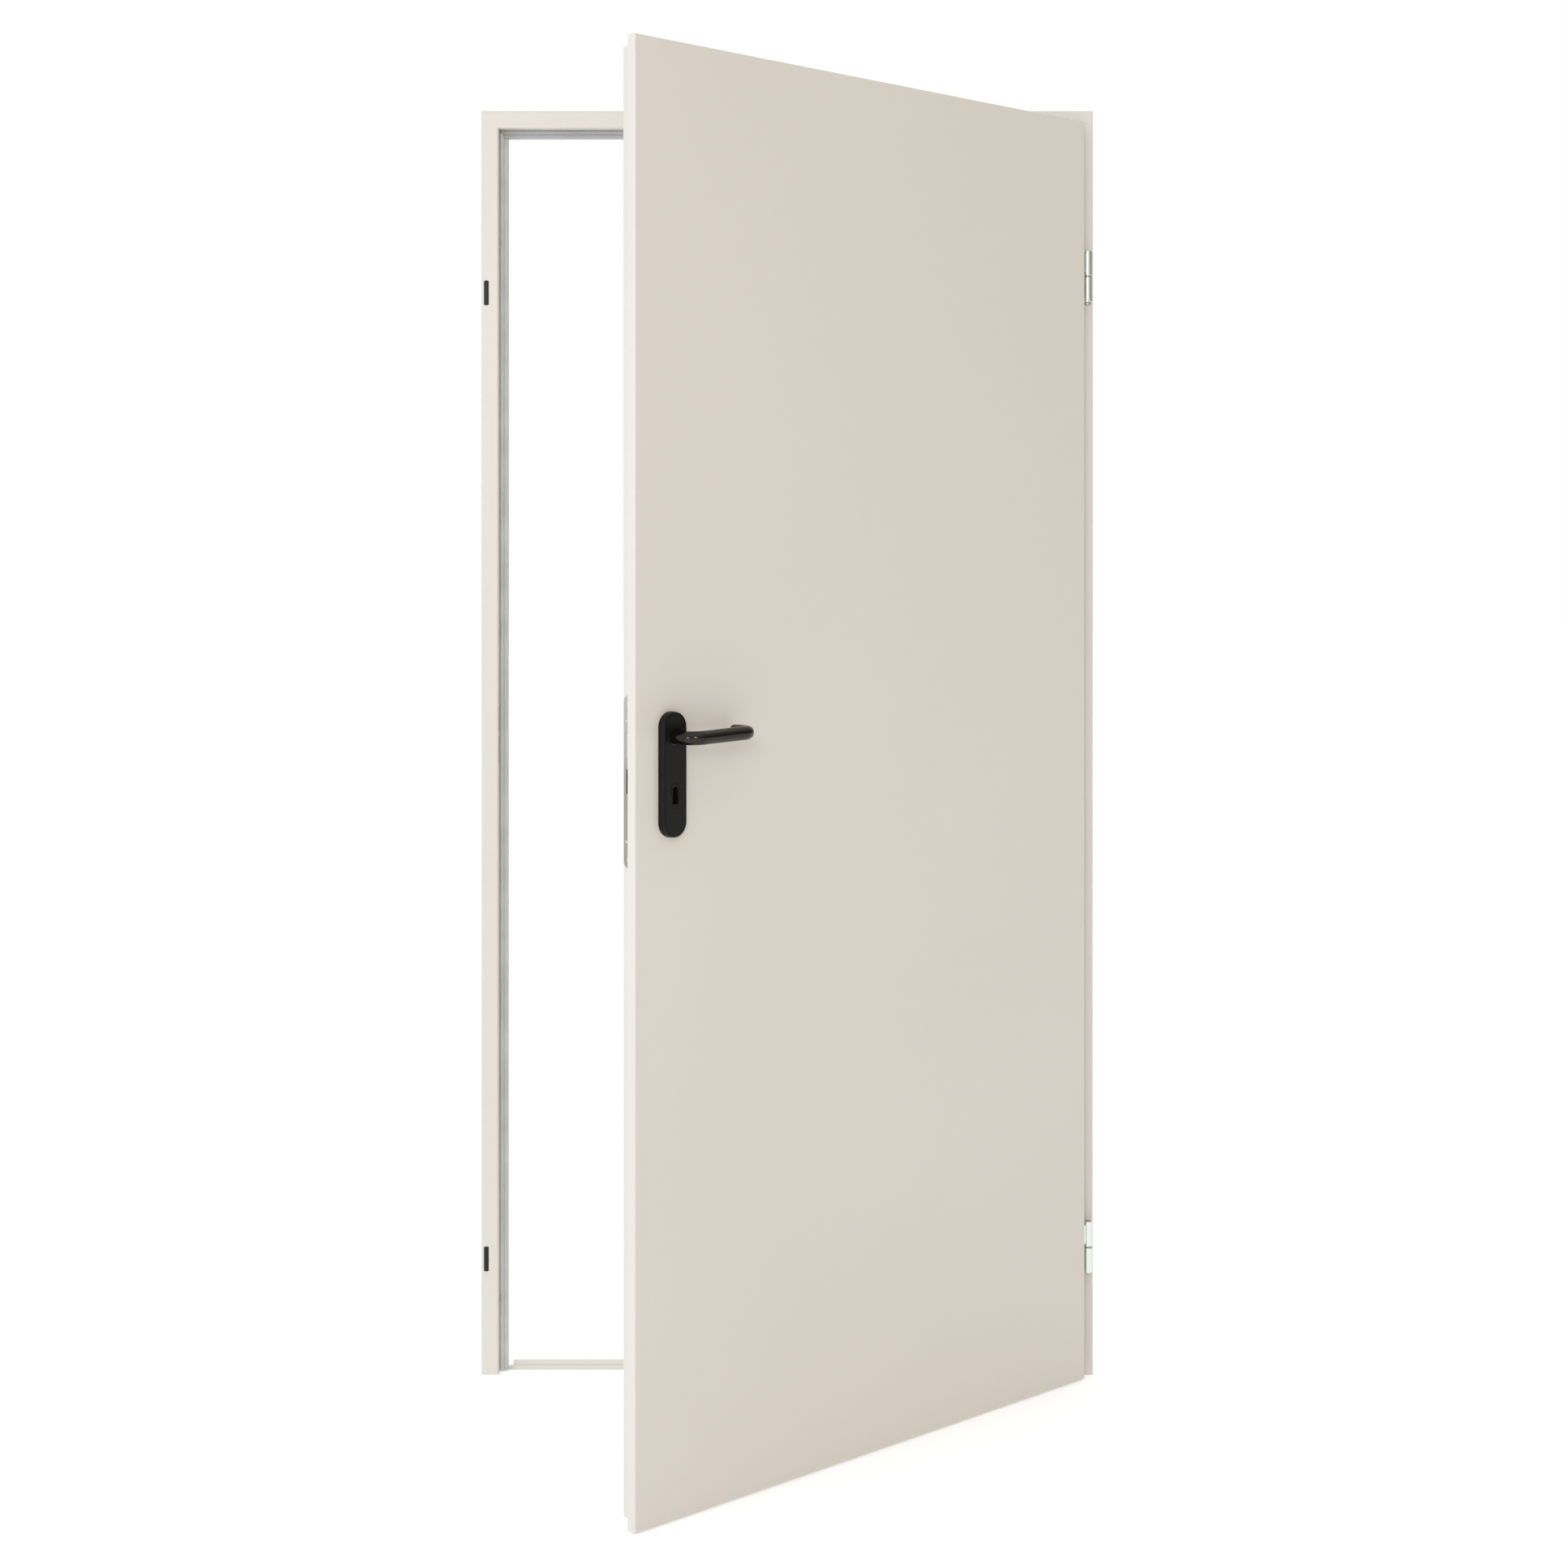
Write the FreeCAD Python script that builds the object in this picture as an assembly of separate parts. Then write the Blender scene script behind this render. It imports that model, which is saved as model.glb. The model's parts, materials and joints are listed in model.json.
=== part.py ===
import FreeCAD, Part
import math
import os

from FreeCAD import Vector

# Insulated steel exterior door in a steel block frame, sizes in mm.
# The door is drawn closed, with X from the lock side to the hinge side, Y from the
# frame's front face into the wall and Z up from the foot of the frame. Then the leaf is
# turned about its hinges to where it stands, and the whole door is moved so that the
# origin lies on the hinge jamb's wall side, at its foot, in the middle of the front lip.

# Frame: outline and folded section
FRAME_WIDTH = 990.0
FRAME_HEIGHT = 2045.0
FACE_WIDTH = 28.0
REBATE_DEPTH = 26.0
STOP_WIDTH = 13.5
STOP_RETURN = 6.0
FRAME_SHEET = 1.5
FRAME_BEND = 2.5
WALL_LIP = 15.0

# Leaf: how far it laps the frame's face, its thickness and its stepped edge
LEAF_LAP = 5.0
LEAF_FOOT = 2.5
LAP_GAP = 5.0
FLANGE_THICKNESS = 15.0
LEAF_THICKNESS = 40.0
SIDE_REBATE = 12.5
TOP_REBATE = 11.0
FOOT_REBATE = 10.0
LEAF_SHEET = 1.0
LEAF_BEND = 2.0
OPEN_ANGLE = 43.6

# Hinges
PIN_INSET = 10.5
PIN_FORWARD = 15.8
BARREL_RADIUS = 7.0
BARREL_EDGE = 1.0
HINGE_PIN_RADIUS = 4.0
HINGE_RUNNING_GAP = 0.05
KNUCKLE_HEIGHT = 40.0
WASHER_THICKNESS = 2.5
WASHER_RADIUS = 6.2
KNUCKLE_LIFT = 3.0
LEAF_WING_THICKNESS = 4.0
LEAF_WING_HEIGHT = 30.0
LEAF_WING_LENGTH = 38.0
FRAME_WING_THICKNESS = 7.0
FRAME_WING_LENGTH = 32.0
PIN_CAP = 0.4
PIN_CAP_RADIUS = 5.5

# Slots in the frame's face, the pockets behind them and the plugs of the unused ones
LOWER_SLOT_FOOT = 167.5
UPPER_SLOT_DROP = 314.5
SLOT_HEIGHT = 40.0
SLOT_WIDTH = 8.0
SLOT_INSET = 8.5
SLOT_CORNER = 2.0
SLOT_CLEARANCE = 0.3
POCKET_WALL = 2.0
POCKET_DEPTH = 34.0
PLUG_DOME = 0.9
PLUG_DEPTH = 7.0

# Fixings in the jambs
LOWER_FIXING = 118.0
UPPER_FIXING_DROP = 210.0
FIXING_RADIUS = 5.5
FIXING_DEPTH = 16.0
BRACKET_HEIGHT = 60.0
BRACKET_THICKNESS = 2.0

# Threshold
THRESHOLD_HEIGHT = 16.0
THRESHOLD_FOOT = 7.4
THRESHOLD_STEP = 1.5
THRESHOLD_SHEET = 2.0
THRESHOLD_RETURN = 20.0
THRESHOLD_END_GAP = 8.0
THRESHOLD_END_CORNER = 3.0
THRESHOLD_EDGE = 0.8
THRESHOLD_CREASE = 0.3
THRESHOLD_BEND = 1.5

# Gasket on the stop
GASKET_LEAF_GAP = 0.4
GASKET_GROOVE = 1.3
GASKET_STOP_GAP = 0.4
GASKET_HEEL = 1.2
GASKET_SHOULDER = 2.2
GASKET_SIDE_CORNER = 1.0
GASKET_LIP = 1.2
GASKET_GROOVE_CORNER = 0.2
GASKET_HOLLOW_RADIUS = 1.6
GASKET_MITRE_GAP = 2.5

# Lock in the leaf's edge
LEVER_HEIGHT = 1072.0
BACKSET = 50.7
KEY_DROP = 72.0
FOREND_ABOVE_LEVER = 57.5
FOREND_HEIGHT = 235.0
FOREND_WIDTH = 20.0
FOREND_THICKNESS = 3.0
FOREND_PROUD = 0.4
FOREND_CLEARANCE = 0.1
BOLT_HEIGHT = 33.0
BOLT_DROP = 60.0
BOLT_THICKNESS = 8.0
BOLT_SUNK = 1.5
LATCH_HEIGHT = 32.0
LATCH_DROP = 11.0
LATCH_PROUD = 2.0
BOLT_LENGTH = 36.0
BOLT_CLEARANCE = 0.3
CASE_ABOVE_LATCH = 18.0
CASE_BELOW_CYLINDER = 45.0
CASE_DEPTH = 86.0
CASE_THICKNESS = 16.0
STRIKE_END_MARGIN = 5.0
STRIKE_SIDE_MARGIN = 1.0
STRIKE_BOX_GAP = 0.1
STRIKE_BOX_WALL = 0.8

# Handle set
PLATE_WIDTH = 43.4
PLATE_HEIGHT = 172.0
PLATE_THICKNESS = 10.7
PLATE_EDGE = 9.7
PLATE_LEAN = 0.7
PLATE_BEVEL = 2.5
PLATE_ABOVE_LEVER = 35.0
LEVER_RADIUS = 9.6
LEVER_COLLAR_RADIUS = 11.5
LEVER_COLLAR_SUNK = 0.4
LEVER_COLLAR_SEAT = 4.0
LEVER_COLLAR_EDGE = 0.4
LEVER_END_EDGE = 2.5
LEVER_REACH = 51.8
LEVER_LENGTH = 103.4
LEVER_BEND = 15.2
LEVER_RISE_ANGLE = 2.4
LEVER_RETURN_GAP = 15.0
LEVER_RUNNING_GAP = 0.3
SPINDLE_SIDE = 8.0
SPINDLE_END = 12.0
CYLINDER_RADIUS = 8.5
CYLINDER_WEB = 11.2
CYLINDER_HEIGHT = 33.0
CYLINDER_CLEARANCE = 0.3
INSERT_PROUD = 0.2
KEYHOLE_RADIUS = 4.8
KEYHOLE_SLOT = 9.4
KEYHOLE_HEIGHT = 24.0

# Places that follow from the sizes above
HALF_WIDTH = FRAME_WIDTH / 2
FRAME_DEPTH = REBATE_DEPTH + STOP_RETURN
STOP_EDGE = FACE_WIDTH + STOP_WIDTH
REBATE_SIDE = HALF_WIDTH - FACE_WIDTH
REBATE_TOP = FRAME_HEIGHT - FACE_WIDTH
STOP_SIDE = REBATE_SIDE - STOP_WIDTH
STOP_TOP = REBATE_TOP - STOP_WIDTH
FLANGE_SIDE = REBATE_SIDE + LEAF_LAP
FLANGE_TOP = REBATE_TOP + LEAF_LAP
FLANGE_BACK = -LAP_GAP
LEAF_FACE = FLANGE_BACK - FLANGE_THICKNESS
LEAF_BACK = LEAF_FACE + LEAF_THICKNESS
BODY_SIDE = FLANGE_SIDE - SIDE_REBATE
BODY_TOP = FLANGE_TOP - TOP_REBATE
BODY_FOOT = LEAF_FOOT + FOOT_REBATE
PIN_X = HALF_WIDTH - PIN_INSET
PIN_Y = -PIN_FORWARD
LEVER_X = -BODY_SIDE + BACKSET
KEY_HEIGHT = LEVER_HEIGHT - KEY_DROP
CYLINDER_FOOT = KEY_HEIGHT + CYLINDER_RADIUS - CYLINDER_HEIGHT
FOREND_TOP = LEVER_HEIGHT + FOREND_ABOVE_LEVER
BOLT_CENTRE = LEVER_HEIGHT - BOLT_DROP
LATCH_CENTRE = LEVER_HEIGHT - LATCH_DROP
SLOT_FEET = {"lower": LOWER_SLOT_FOOT, "upper": FRAME_HEIGHT - UPPER_SLOT_DROP}
FIXING_HEIGHTS = (LOWER_FIXING, FRAME_HEIGHT - UPPER_FIXING_DROP)
BODY_MIDDLE = (FLANGE_BACK + LEAF_BACK) / 2


def box(low, high):
    """Block between two opposite corners."""
    size = [b - a for a, b in zip(low, high)]
    return Part.makeBox(*size, Vector(*low))


def rounded_wire(points, radius):
    """Closed outline through the points, with an arc of the given radius at each corner."""
    vectors = [Vector(*p) for p in points]
    count = len(vectors)
    radii = radius if isinstance(radius, (list, tuple)) else [radius] * count
    starts, ends, middles = [], [], []
    for i, corner in enumerate(vectors):
        back = (vectors[i - 1] - corner).normalize()
        ahead = (vectors[(i + 1) % count] - corner).normalize()
        half = back.getAngle(ahead) / 2
        run = radii[i] / math.tan(half)
        starts.append(corner + back * run)
        ends.append(corner + ahead * run)
        inward = (back + ahead).normalize()
        middles.append(corner + inward * (radii[i] / math.sin(half) - radii[i]))
    edges = []
    for i in range(count):
        if radii[i] > 0:
            edges.append(Part.Arc(starts[i], middles[i], ends[i]).toShape())
        following = starts[(i + 1) % count]
        if (following - ends[i]).Length > 1e-6:
            edges.append(Part.LineSegment(ends[i], following).toShape())
    return Part.Wire(edges)


def prism(points, radius, along):
    """Solid made by pushing a rounded outline along a vector."""
    return Part.Face(rounded_wire(points, radius)).extrude(Vector(*along))


def stadium(width, height, bottom):
    """Upright outline with round ends in the XZ plane, centred on X = 0."""
    r = width / 2
    top = bottom + height
    arc_up = Part.Arc(Vector(r, 0, top - r), Vector(0, 0, top), Vector(-r, 0, top - r))
    arc_down = Part.Arc(Vector(-r, 0, bottom + r), Vector(0, 0, bottom), Vector(r, 0, bottom + r))
    left = Part.LineSegment(Vector(-r, 0, top - r), Vector(-r, 0, bottom + r))
    right = Part.LineSegment(Vector(r, 0, bottom + r), Vector(r, 0, top - r))
    return Part.Wire([arc_up.toShape(), left.toShape(), arc_down.toShape(), right.toShape()])


def mirrored(shape):
    """The same piece on the other jamb."""
    return shape.mirror(Vector(0, 0, 0), Vector(1, 0, 0))


# Frame members
def folded_member(place, along):
    """One straight member, a strip folded from its wall lip round to the stop's short return."""
    t = FRAME_SHEET
    outline = [
        (0, WALL_LIP), (0, 0), (FACE_WIDTH, 0), (FACE_WIDTH, REBATE_DEPTH),
        (STOP_EDGE, REBATE_DEPTH), (STOP_EDGE, FRAME_DEPTH),
        (STOP_EDGE - t, FRAME_DEPTH), (STOP_EDGE - t, REBATE_DEPTH + t),
        (FACE_WIDTH - t, REBATE_DEPTH + t), (FACE_WIDTH - t, t), (t, t), (t, WALL_LIP),
    ]
    outer = FRAME_BEND
    inner = FRAME_BEND - FRAME_SHEET
    # The rebate's inner corner is the one that folds the other way.
    radii = [0, outer, outer, inner, outer, 0, 0, inner, outer, inner, inner, 0]
    return prism([place(across, depth) for across, depth in outline], radii, along)


def jamb_place(a, b):
    return (-HALF_WIDTH + a, b, 0)


def head_place(a, b):
    return (-HALF_WIDTH, b, FRAME_HEIGHT - a)


def mitre_wedge():
    """Space above the two 45 degree mitres, where only the head runs."""
    reach = FRAME_WIDTH / 2
    points = [
        (-HALF_WIDTH, -1, FRAME_HEIGHT), (0, -1, FRAME_HEIGHT - reach), (HALF_WIDTH, -1, FRAME_HEIGHT),
    ]
    return prism(points, 0, (0, FRAME_DEPTH + 2, 0))


def fixing_bracket(height):
    """Angle that joins the jamb's wall lip to the back of its stop, round one fixing."""
    low, high = height - BRACKET_HEIGHT / 2, height + BRACKET_HEIGHT / 2
    near = REBATE_DEPTH + FRAME_SHEET
    far = near + BRACKET_THICKNESS
    tongue = box((-HALF_WIDTH, FRAME_SHEET, low), (-HALF_WIDTH + BRACKET_THICKNESS, far, high))
    leg = box((-HALF_WIDTH, near, low), (-HALF_WIDTH + STOP_EDGE - FRAME_SHEET, far, high))
    return tongue.fuse(leg)


def bare_jamb():
    """Lock-side jamb with its mitre, fixing holes and brackets, before its slots."""
    jamb = folded_member(jamb_place, (0, 0, FRAME_HEIGHT)).cut(mitre_wedge())
    for height in FIXING_HEIGHTS:
        jamb = jamb.fuse(fixing_bracket(height))
        start = Vector(-HALF_WIDTH - 1, FIXING_DEPTH, height)
        hole = Part.makeCylinder(FIXING_RADIUS, FACE_WIDTH + 2, start, Vector(1, 0, 0))
        jamb = jamb.cut(hole)
    return jamb


def slot_tool(foot, depth_from, depth_to, grow=0.0):
    """Rounded block through one slot of the lock jamb's face."""
    half = SLOT_WIDTH / 2 + grow
    x = -HALF_WIDTH + SLOT_INSET
    low, high = foot - grow, foot + SLOT_HEIGHT + grow
    points = [
        (x - half, depth_from, low), (x + half, depth_from, low),
        (x + half, depth_from, high), (x - half, depth_from, high),
    ]
    return prism(points, SLOT_CORNER + grow, (0, depth_to - depth_from, 0))


def strike_tool(centre, height):
    """Block that opens the lock jamb's rebate side for a bolt."""
    half = height / 2 + STRIKE_END_MARGIN
    depth = BOLT_THICKNESS / 2 + STRIKE_SIDE_MARGIN
    return box(
        (-REBATE_SIDE - FRAME_SHEET - 1, BODY_MIDDLE - depth, centre - half),
        (-REBATE_SIDE + 1, BODY_MIDDLE + depth, centre + half),
    )


def jambs():
    """Lock jamb and hinge jamb. The frame is reversible, so both have hinge slots."""
    jamb = bare_jamb()
    for foot in SLOT_FEET.values():
        jamb = jamb.cut(slot_tool(foot, -1, FRAME_SHEET + 1))
    lock_jamb = jamb
    for centre, height in ((LATCH_CENTRE, LATCH_HEIGHT), (BOLT_CENTRE, BOLT_HEIGHT)):
        lock_jamb = lock_jamb.cut(strike_tool(centre, height))
    return lock_jamb, mirrored(jamb)


def frame_head():
    head = folded_member(head_place, (FRAME_WIDTH, 0, 0))
    return head.common(mitre_wedge())


def strike_box():
    """Closed plastic box behind both strike openings, which keeps mortar out of them."""
    t = STRIKE_BOX_WALL
    low = BOLT_CENTRE - BOLT_HEIGHT / 2 - 2 * STRIKE_END_MARGIN
    high = LATCH_CENTRE + LATCH_HEIGHT / 2 + 2 * STRIKE_END_MARGIN
    face = -REBATE_SIDE - FRAME_SHEET
    rear = -HALF_WIDTH + BRACKET_THICKNESS
    near = FRAME_BEND + STRIKE_BOX_GAP
    far = REBATE_DEPTH
    outer = box((rear, near, low), (face, far, high))
    hollow = box((rear + t, near + t, low + t), (face + 1, far - t, high - t))
    return outer.cut(hollow)


def hinge_pocket(foot):
    """Steel pocket welded behind a slot, which holds a hinge wing or a plug."""
    w = POCKET_WALL
    half = SLOT_WIDTH / 2
    x = -HALF_WIDTH + SLOT_INSET
    near = FRAME_SHEET
    body = box(
        (x - half - w, near, foot - w),
        (x + half + w, near + POCKET_DEPTH, foot + SLOT_HEIGHT + w),
    )
    return body.cut(slot_tool(foot, near - 1, near + POCKET_DEPTH - w))


def slot_plug(foot):
    """Black plug pressed into an unused slot, with a low crowned face."""
    stem = slot_tool(foot, 0, PLUG_DEPTH, -SLOT_CLEARANCE)
    half = SLOT_WIDTH / 2 - SLOT_CLEARANCE
    x = -HALF_WIDTH + SLOT_INSET
    crown_radius = (half ** 2 + PLUG_DOME ** 2) / (2 * PLUG_DOME)
    low, high = foot + SLOT_CLEARANCE, foot + SLOT_HEIGHT - SLOT_CLEARANCE
    centre = Vector(x, crown_radius - PLUG_DOME, low)
    crown = Part.makeCylinder(crown_radius, high - low, centre, Vector(0, 0, 1))
    front = slot_tool(foot, -PLUG_DOME, 0, -SLOT_CLEARANCE)
    return stem.fuse(front.common(crown)).removeSplitter()


def gasket(place, along):
    """Two soft lobes side by side on the stop, each with a round hollow along it."""
    left = FACE_WIDTH + GASKET_STOP_GAP
    right = STOP_EDGE - GASKET_STOP_GAP
    middle = (left + right) / 2
    crest = LEAF_BACK + GASKET_LEAF_GAP
    back = REBATE_DEPTH
    points = [
        (left, back), (left, crest), (middle - GASKET_GROOVE, crest),
        (middle, crest + GASKET_GROOVE), (middle + GASKET_GROOVE, crest), (right, crest), (right, back),
    ]
    radii = [
        GASKET_HEEL, GASKET_SIDE_CORNER, GASKET_LIP, GASKET_GROOVE_CORNER, GASKET_LIP, GASKET_SHOULDER,
        GASKET_HEEL,
    ]
    strip = prism([place(across, depth) for across, depth in points], radii, along)
    direction = Vector(*along)
    for centre in ((left + middle) / 2, (middle + right) / 2):
        start = Vector(*place(centre, (crest + back) / 2))
        strip = strip.cut(Part.makeCylinder(GASKET_HOLLOW_RADIUS, direction.Length, start, direction))
    return strip


def head_gasket_space():
    """Space of the head's gasket: above the mitres, with its inner lobe run over the jambs'."""
    space = mitre_wedge()
    middle = FACE_WIDTH + STOP_WIDTH / 2
    for side in (-1, 1):
        near, far = side * (HALF_WIDTH - middle), side * (HALF_WIDTH - STOP_EDGE)
        space = space.fuse(box(
            (min(near, far), -1, FRAME_HEIGHT - STOP_EDGE),
            (max(near, far), FRAME_DEPTH, FRAME_HEIGHT - middle),
        ))
    return space


def gaskets():
    """Gasket strips on the lock jamb, the hinge jamb and the head, joined at the top."""
    side = gasket(jamb_place, (0, 0, FRAME_HEIGHT)).cut(head_gasket_space())
    corner = (-HALF_WIDTH + FACE_WIDTH, -1, FRAME_HEIGHT - FACE_WIDTH)
    gap = [
        corner, (-HALF_WIDTH + STOP_EDGE, -1, FRAME_HEIGHT - STOP_EDGE),
        (corner[0], -1, corner[2] - GASKET_MITRE_GAP),
    ]
    side = side.cut(prism(gap, 0, (0, FRAME_DEPTH + 2, 0)))
    top = gasket(head_place, (FRAME_WIDTH, 0, 0)).common(head_gasket_space())
    return side, mirrored(side), top


def threshold():
    """Folded stop at the floor: a foot between the jambs and a raised lip, set back."""
    t = THRESHOLD_SHEET
    face = REBATE_DEPTH
    lip = face + THRESHOLD_STEP
    back = face + THRESHOLD_RETURN
    points = [
        (0, face, 0), (0, face, THRESHOLD_FOOT), (0, lip, THRESHOLD_FOOT),
        (0, lip, THRESHOLD_HEIGHT), (0, lip + t, THRESHOLD_HEIGHT), (0, lip + t, t), (0, back, t),
        (0, back, 0),
    ]
    edge = THRESHOLD_EDGE
    radii = [0, edge, THRESHOLD_CREASE, edge, edge, THRESHOLD_BEND, edge, 0]
    half = STOP_SIDE
    rail = prism([(-half, y, z) for _, y, z in points], radii, (2 * half, 0, 0))
    for side in (-1, 1):
        inner = side * (half - THRESHOLD_END_GAP)
        outer = side * (half + 1)
        notch = [
            (inner, face - 1, t), (outer, face - 1, t), (outer, face - 1, THRESHOLD_HEIGHT + 1),
            (inner, face - 1, THRESHOLD_HEIGHT + 1),
        ]
        rail = rail.cut(prism(notch, [THRESHOLD_END_CORNER, 0, 0, 0], (0, THRESHOLD_RETURN, 0)))
    return rail


# Hinges, drawn with the leaf closed
def barrel(foot, height):
    cylinder = Part.makeCylinder(BARREL_RADIUS, height, Vector(PIN_X, PIN_Y, foot))
    rims = [e for e in cylinder.Edges if isinstance(e.Curve, Part.Circle)]
    return cylinder.makeFillet(BARREL_EDGE, rims)


def pin_bore(foot, height):
    radius = HINGE_PIN_RADIUS + HINGE_RUNNING_GAP
    return Part.makeCylinder(radius, height, Vector(PIN_X, PIN_Y, foot))


def frame_knuckle(slot_foot):
    """Lower knuckle of one hinge with the wing that reaches through the frame's slot."""
    foot = slot_foot + KNUCKLE_LIFT
    half = FRAME_WING_THICKNESS / 2
    x = HALF_WIDTH - SLOT_INSET
    low, high = slot_foot + SLOT_CLEARANCE, slot_foot + SLOT_HEIGHT - SLOT_CLEARANCE
    section = [
        (x - half, PIN_Y, low), (x + half, PIN_Y, low), (x + half, PIN_Y, high), (x - half, PIN_Y, high),
    ]
    wing = prism(section, SLOT_CORNER, (0, FRAME_WING_LENGTH + PIN_FORWARD, 0))
    # Under the barrel the wing stops behind it, clear of the pin's cap.
    wing = wing.cut(Part.makeCylinder(BARREL_RADIUS, foot - low + 1, Vector(PIN_X, PIN_Y, low - 1)))
    return barrel(foot, KNUCKLE_HEIGHT).fuse(wing).cut(pin_bore(foot, KNUCKLE_HEIGHT)).removeSplitter()


def leaf_knuckle_foot(slot_foot):
    return slot_foot + KNUCKLE_LIFT + KNUCKLE_HEIGHT + WASHER_THICKNESS


def leaf_wing_box(slot_foot):
    foot = leaf_knuckle_foot(slot_foot) + (KNUCKLE_HEIGHT - LEAF_WING_HEIGHT) / 2
    half = LEAF_WING_THICKNESS / 2
    low = (FLANGE_SIDE - LEAF_WING_LENGTH, PIN_Y - half, foot)
    return box(low, (PIN_X, PIN_Y + half, foot + LEAF_WING_HEIGHT))


def leaf_knuckle(slot_foot):
    """Upper knuckle of one hinge with the wing that is welded inside the leaf's flange."""
    foot = leaf_knuckle_foot(slot_foot)
    solid = barrel(foot, KNUCKLE_HEIGHT).fuse(leaf_wing_box(slot_foot))
    return solid.cut(pin_bore(foot, KNUCKLE_HEIGHT)).removeSplitter()


def hinge_pin(slot_foot):
    """Pin through both knuckles, with a shallow domed cap at each end."""
    foot = slot_foot + KNUCKLE_LIFT
    length = 2 * KNUCKLE_HEIGHT + WASHER_THICKNESS
    pin = Part.makeCylinder(HINGE_PIN_RADIUS, length, Vector(PIN_X, PIN_Y, foot))
    for level, up in ((foot, -1), (foot + length, 1)):
        gap = HINGE_RUNNING_GAP
        centre = Vector(PIN_X, PIN_Y, level + up * gap)
        cap = Part.makeCylinder(PIN_CAP_RADIUS, PIN_CAP, centre, Vector(0, 0, up))
        reach = gap + PIN_CAP / 2
        neck = Part.makeCylinder(HINGE_PIN_RADIUS, reach, Vector(PIN_X, PIN_Y, level), Vector(0, 0, up))
        outer = [e for e in cap.Edges if abs(e.CenterOfMass.z - (level + up * (gap + PIN_CAP))) < 0.01]
        pin = pin.fuse(cap.makeFillet(PIN_CAP * 0.7, outer)).fuse(neck)
    return pin.removeSplitter()


def hinge_washer(slot_foot):
    foot = slot_foot + KNUCKLE_LIFT + KNUCKLE_HEIGHT + HINGE_RUNNING_GAP
    height = WASHER_THICKNESS - 2 * HINGE_RUNNING_GAP
    ring = Part.makeCylinder(WASHER_RADIUS, height, Vector(PIN_X, PIN_Y, foot))
    return ring.cut(pin_bore(foot - 1, height + 2))


# Leaf, drawn closed
def flange_block(inset):
    return box(
        (-FLANGE_SIDE + inset, LEAF_FACE + inset, LEAF_FOOT + inset),
        (FLANGE_SIDE - inset, FLANGE_BACK - inset, FLANGE_TOP - inset),
    )


def body_block(inset, front, back):
    return box(
        (-BODY_SIDE + inset, front, BODY_FOOT + inset),
        (BODY_SIDE - inset, back, BODY_TOP - inset),
    )


def lock_holes():
    """Holes through the leaf's sheets for the spindle and the lock cylinder."""
    r = LEVER_COLLAR_RADIUS
    long = LEAF_THICKNESS + 4
    start = Vector(LEVER_X, LEAF_FACE - 2, LEVER_HEIGHT)
    hole = Part.makeCylinder(r, long, start, Vector(0, 1, 0))
    return hole.fuse(cylinder_prism(LEAF_FACE - 2, LEAF_BACK + 2, CYLINDER_CLEARANCE))


def cylinder_prism(front, back, grow=0.0):
    """Lock cylinder's outline, a round head over a narrower web, pushed through the leaf."""
    r = CYLINDER_RADIUS + grow
    web = CYLINDER_WEB / 2 + grow
    head = Part.makeCylinder(r, back - front, Vector(LEVER_X, front, KEY_HEIGHT), Vector(0, 1, 0))
    foot = CYLINDER_FOOT - grow
    leg = box((LEVER_X - web, front, foot + web), (LEVER_X + web, back, KEY_HEIGHT))
    toe = Part.makeCylinder(web, back - front, Vector(LEVER_X, front, foot + web), Vector(0, 1, 0))
    return head.fuse(leg).fuse(toe).removeSplitter()


def forend_tool(grow, inner, outer):
    """Faceplate's rounded outline, pushed across the leaf's lock edge."""
    foot = FOREND_TOP - FOREND_HEIGHT - grow
    outline = stadium(FOREND_WIDTH + 2 * grow, FOREND_HEIGHT + 2 * grow, foot)
    solid = Part.Face(outline).extrude(Vector(0, -(outer - inner), 0))
    solid.rotate(Vector(0, 0, 0), Vector(0, 0, 1), -90)
    solid.translate(Vector(-BODY_SIDE - inner, BODY_MIDDLE, 0))
    return solid


def leaf_front_skin():
    """Front sheet with the flange folded round its four edges and back to the body."""
    outer = flange_block(0)
    face_edges = [
        e for e in outer.Edges
        if all(abs(v.Point.y - LEAF_FACE) < 0.01 for v in e.Vertexes)
    ]
    outer = outer.makeFillet(LEAF_BEND, face_edges)
    skin = outer.cut(flange_block(LEAF_SHEET))
    skin = skin.cut(body_block(0, FLANGE_BACK - 2 * LEAF_SHEET, FLANGE_BACK + 1))
    for foot in SLOT_FEET.values():
        skin = skin.cut(leaf_wing_box(foot))
    return skin.cut(lock_holes())


def leaf_back_skin():
    """Back sheet with its four sides, which meets the flange's fold."""
    front = FLANGE_BACK - LEAF_SHEET
    outer = body_block(0, front, LEAF_BACK)
    back_edges = [
        e for e in outer.Edges
        if all(abs(v.Point.y - LEAF_BACK) < 0.01 for v in e.Vertexes)
    ]
    outer = outer.makeFillet(LEAF_BEND, back_edges)
    skin = outer.cut(body_block(LEAF_SHEET, front - 1, LEAF_BACK - LEAF_SHEET))
    return skin.cut(forend_tool(FOREND_CLEARANCE, -5, 5)).cut(lock_holes())


def case_block():
    """Lock case, a flat steel box behind the faceplate."""
    low = CYLINDER_FOOT - CASE_BELOW_CYLINDER
    high = LATCH_CENTRE + LATCH_HEIGHT / 2 + CASE_ABOVE_LATCH
    face = -BODY_SIDE - FOREND_PROUD + FOREND_THICKNESS
    half = CASE_THICKNESS / 2
    return box(
        (face, BODY_MIDDLE - half, low),
        (face + CASE_DEPTH, BODY_MIDDLE + half, high),
    )


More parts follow.
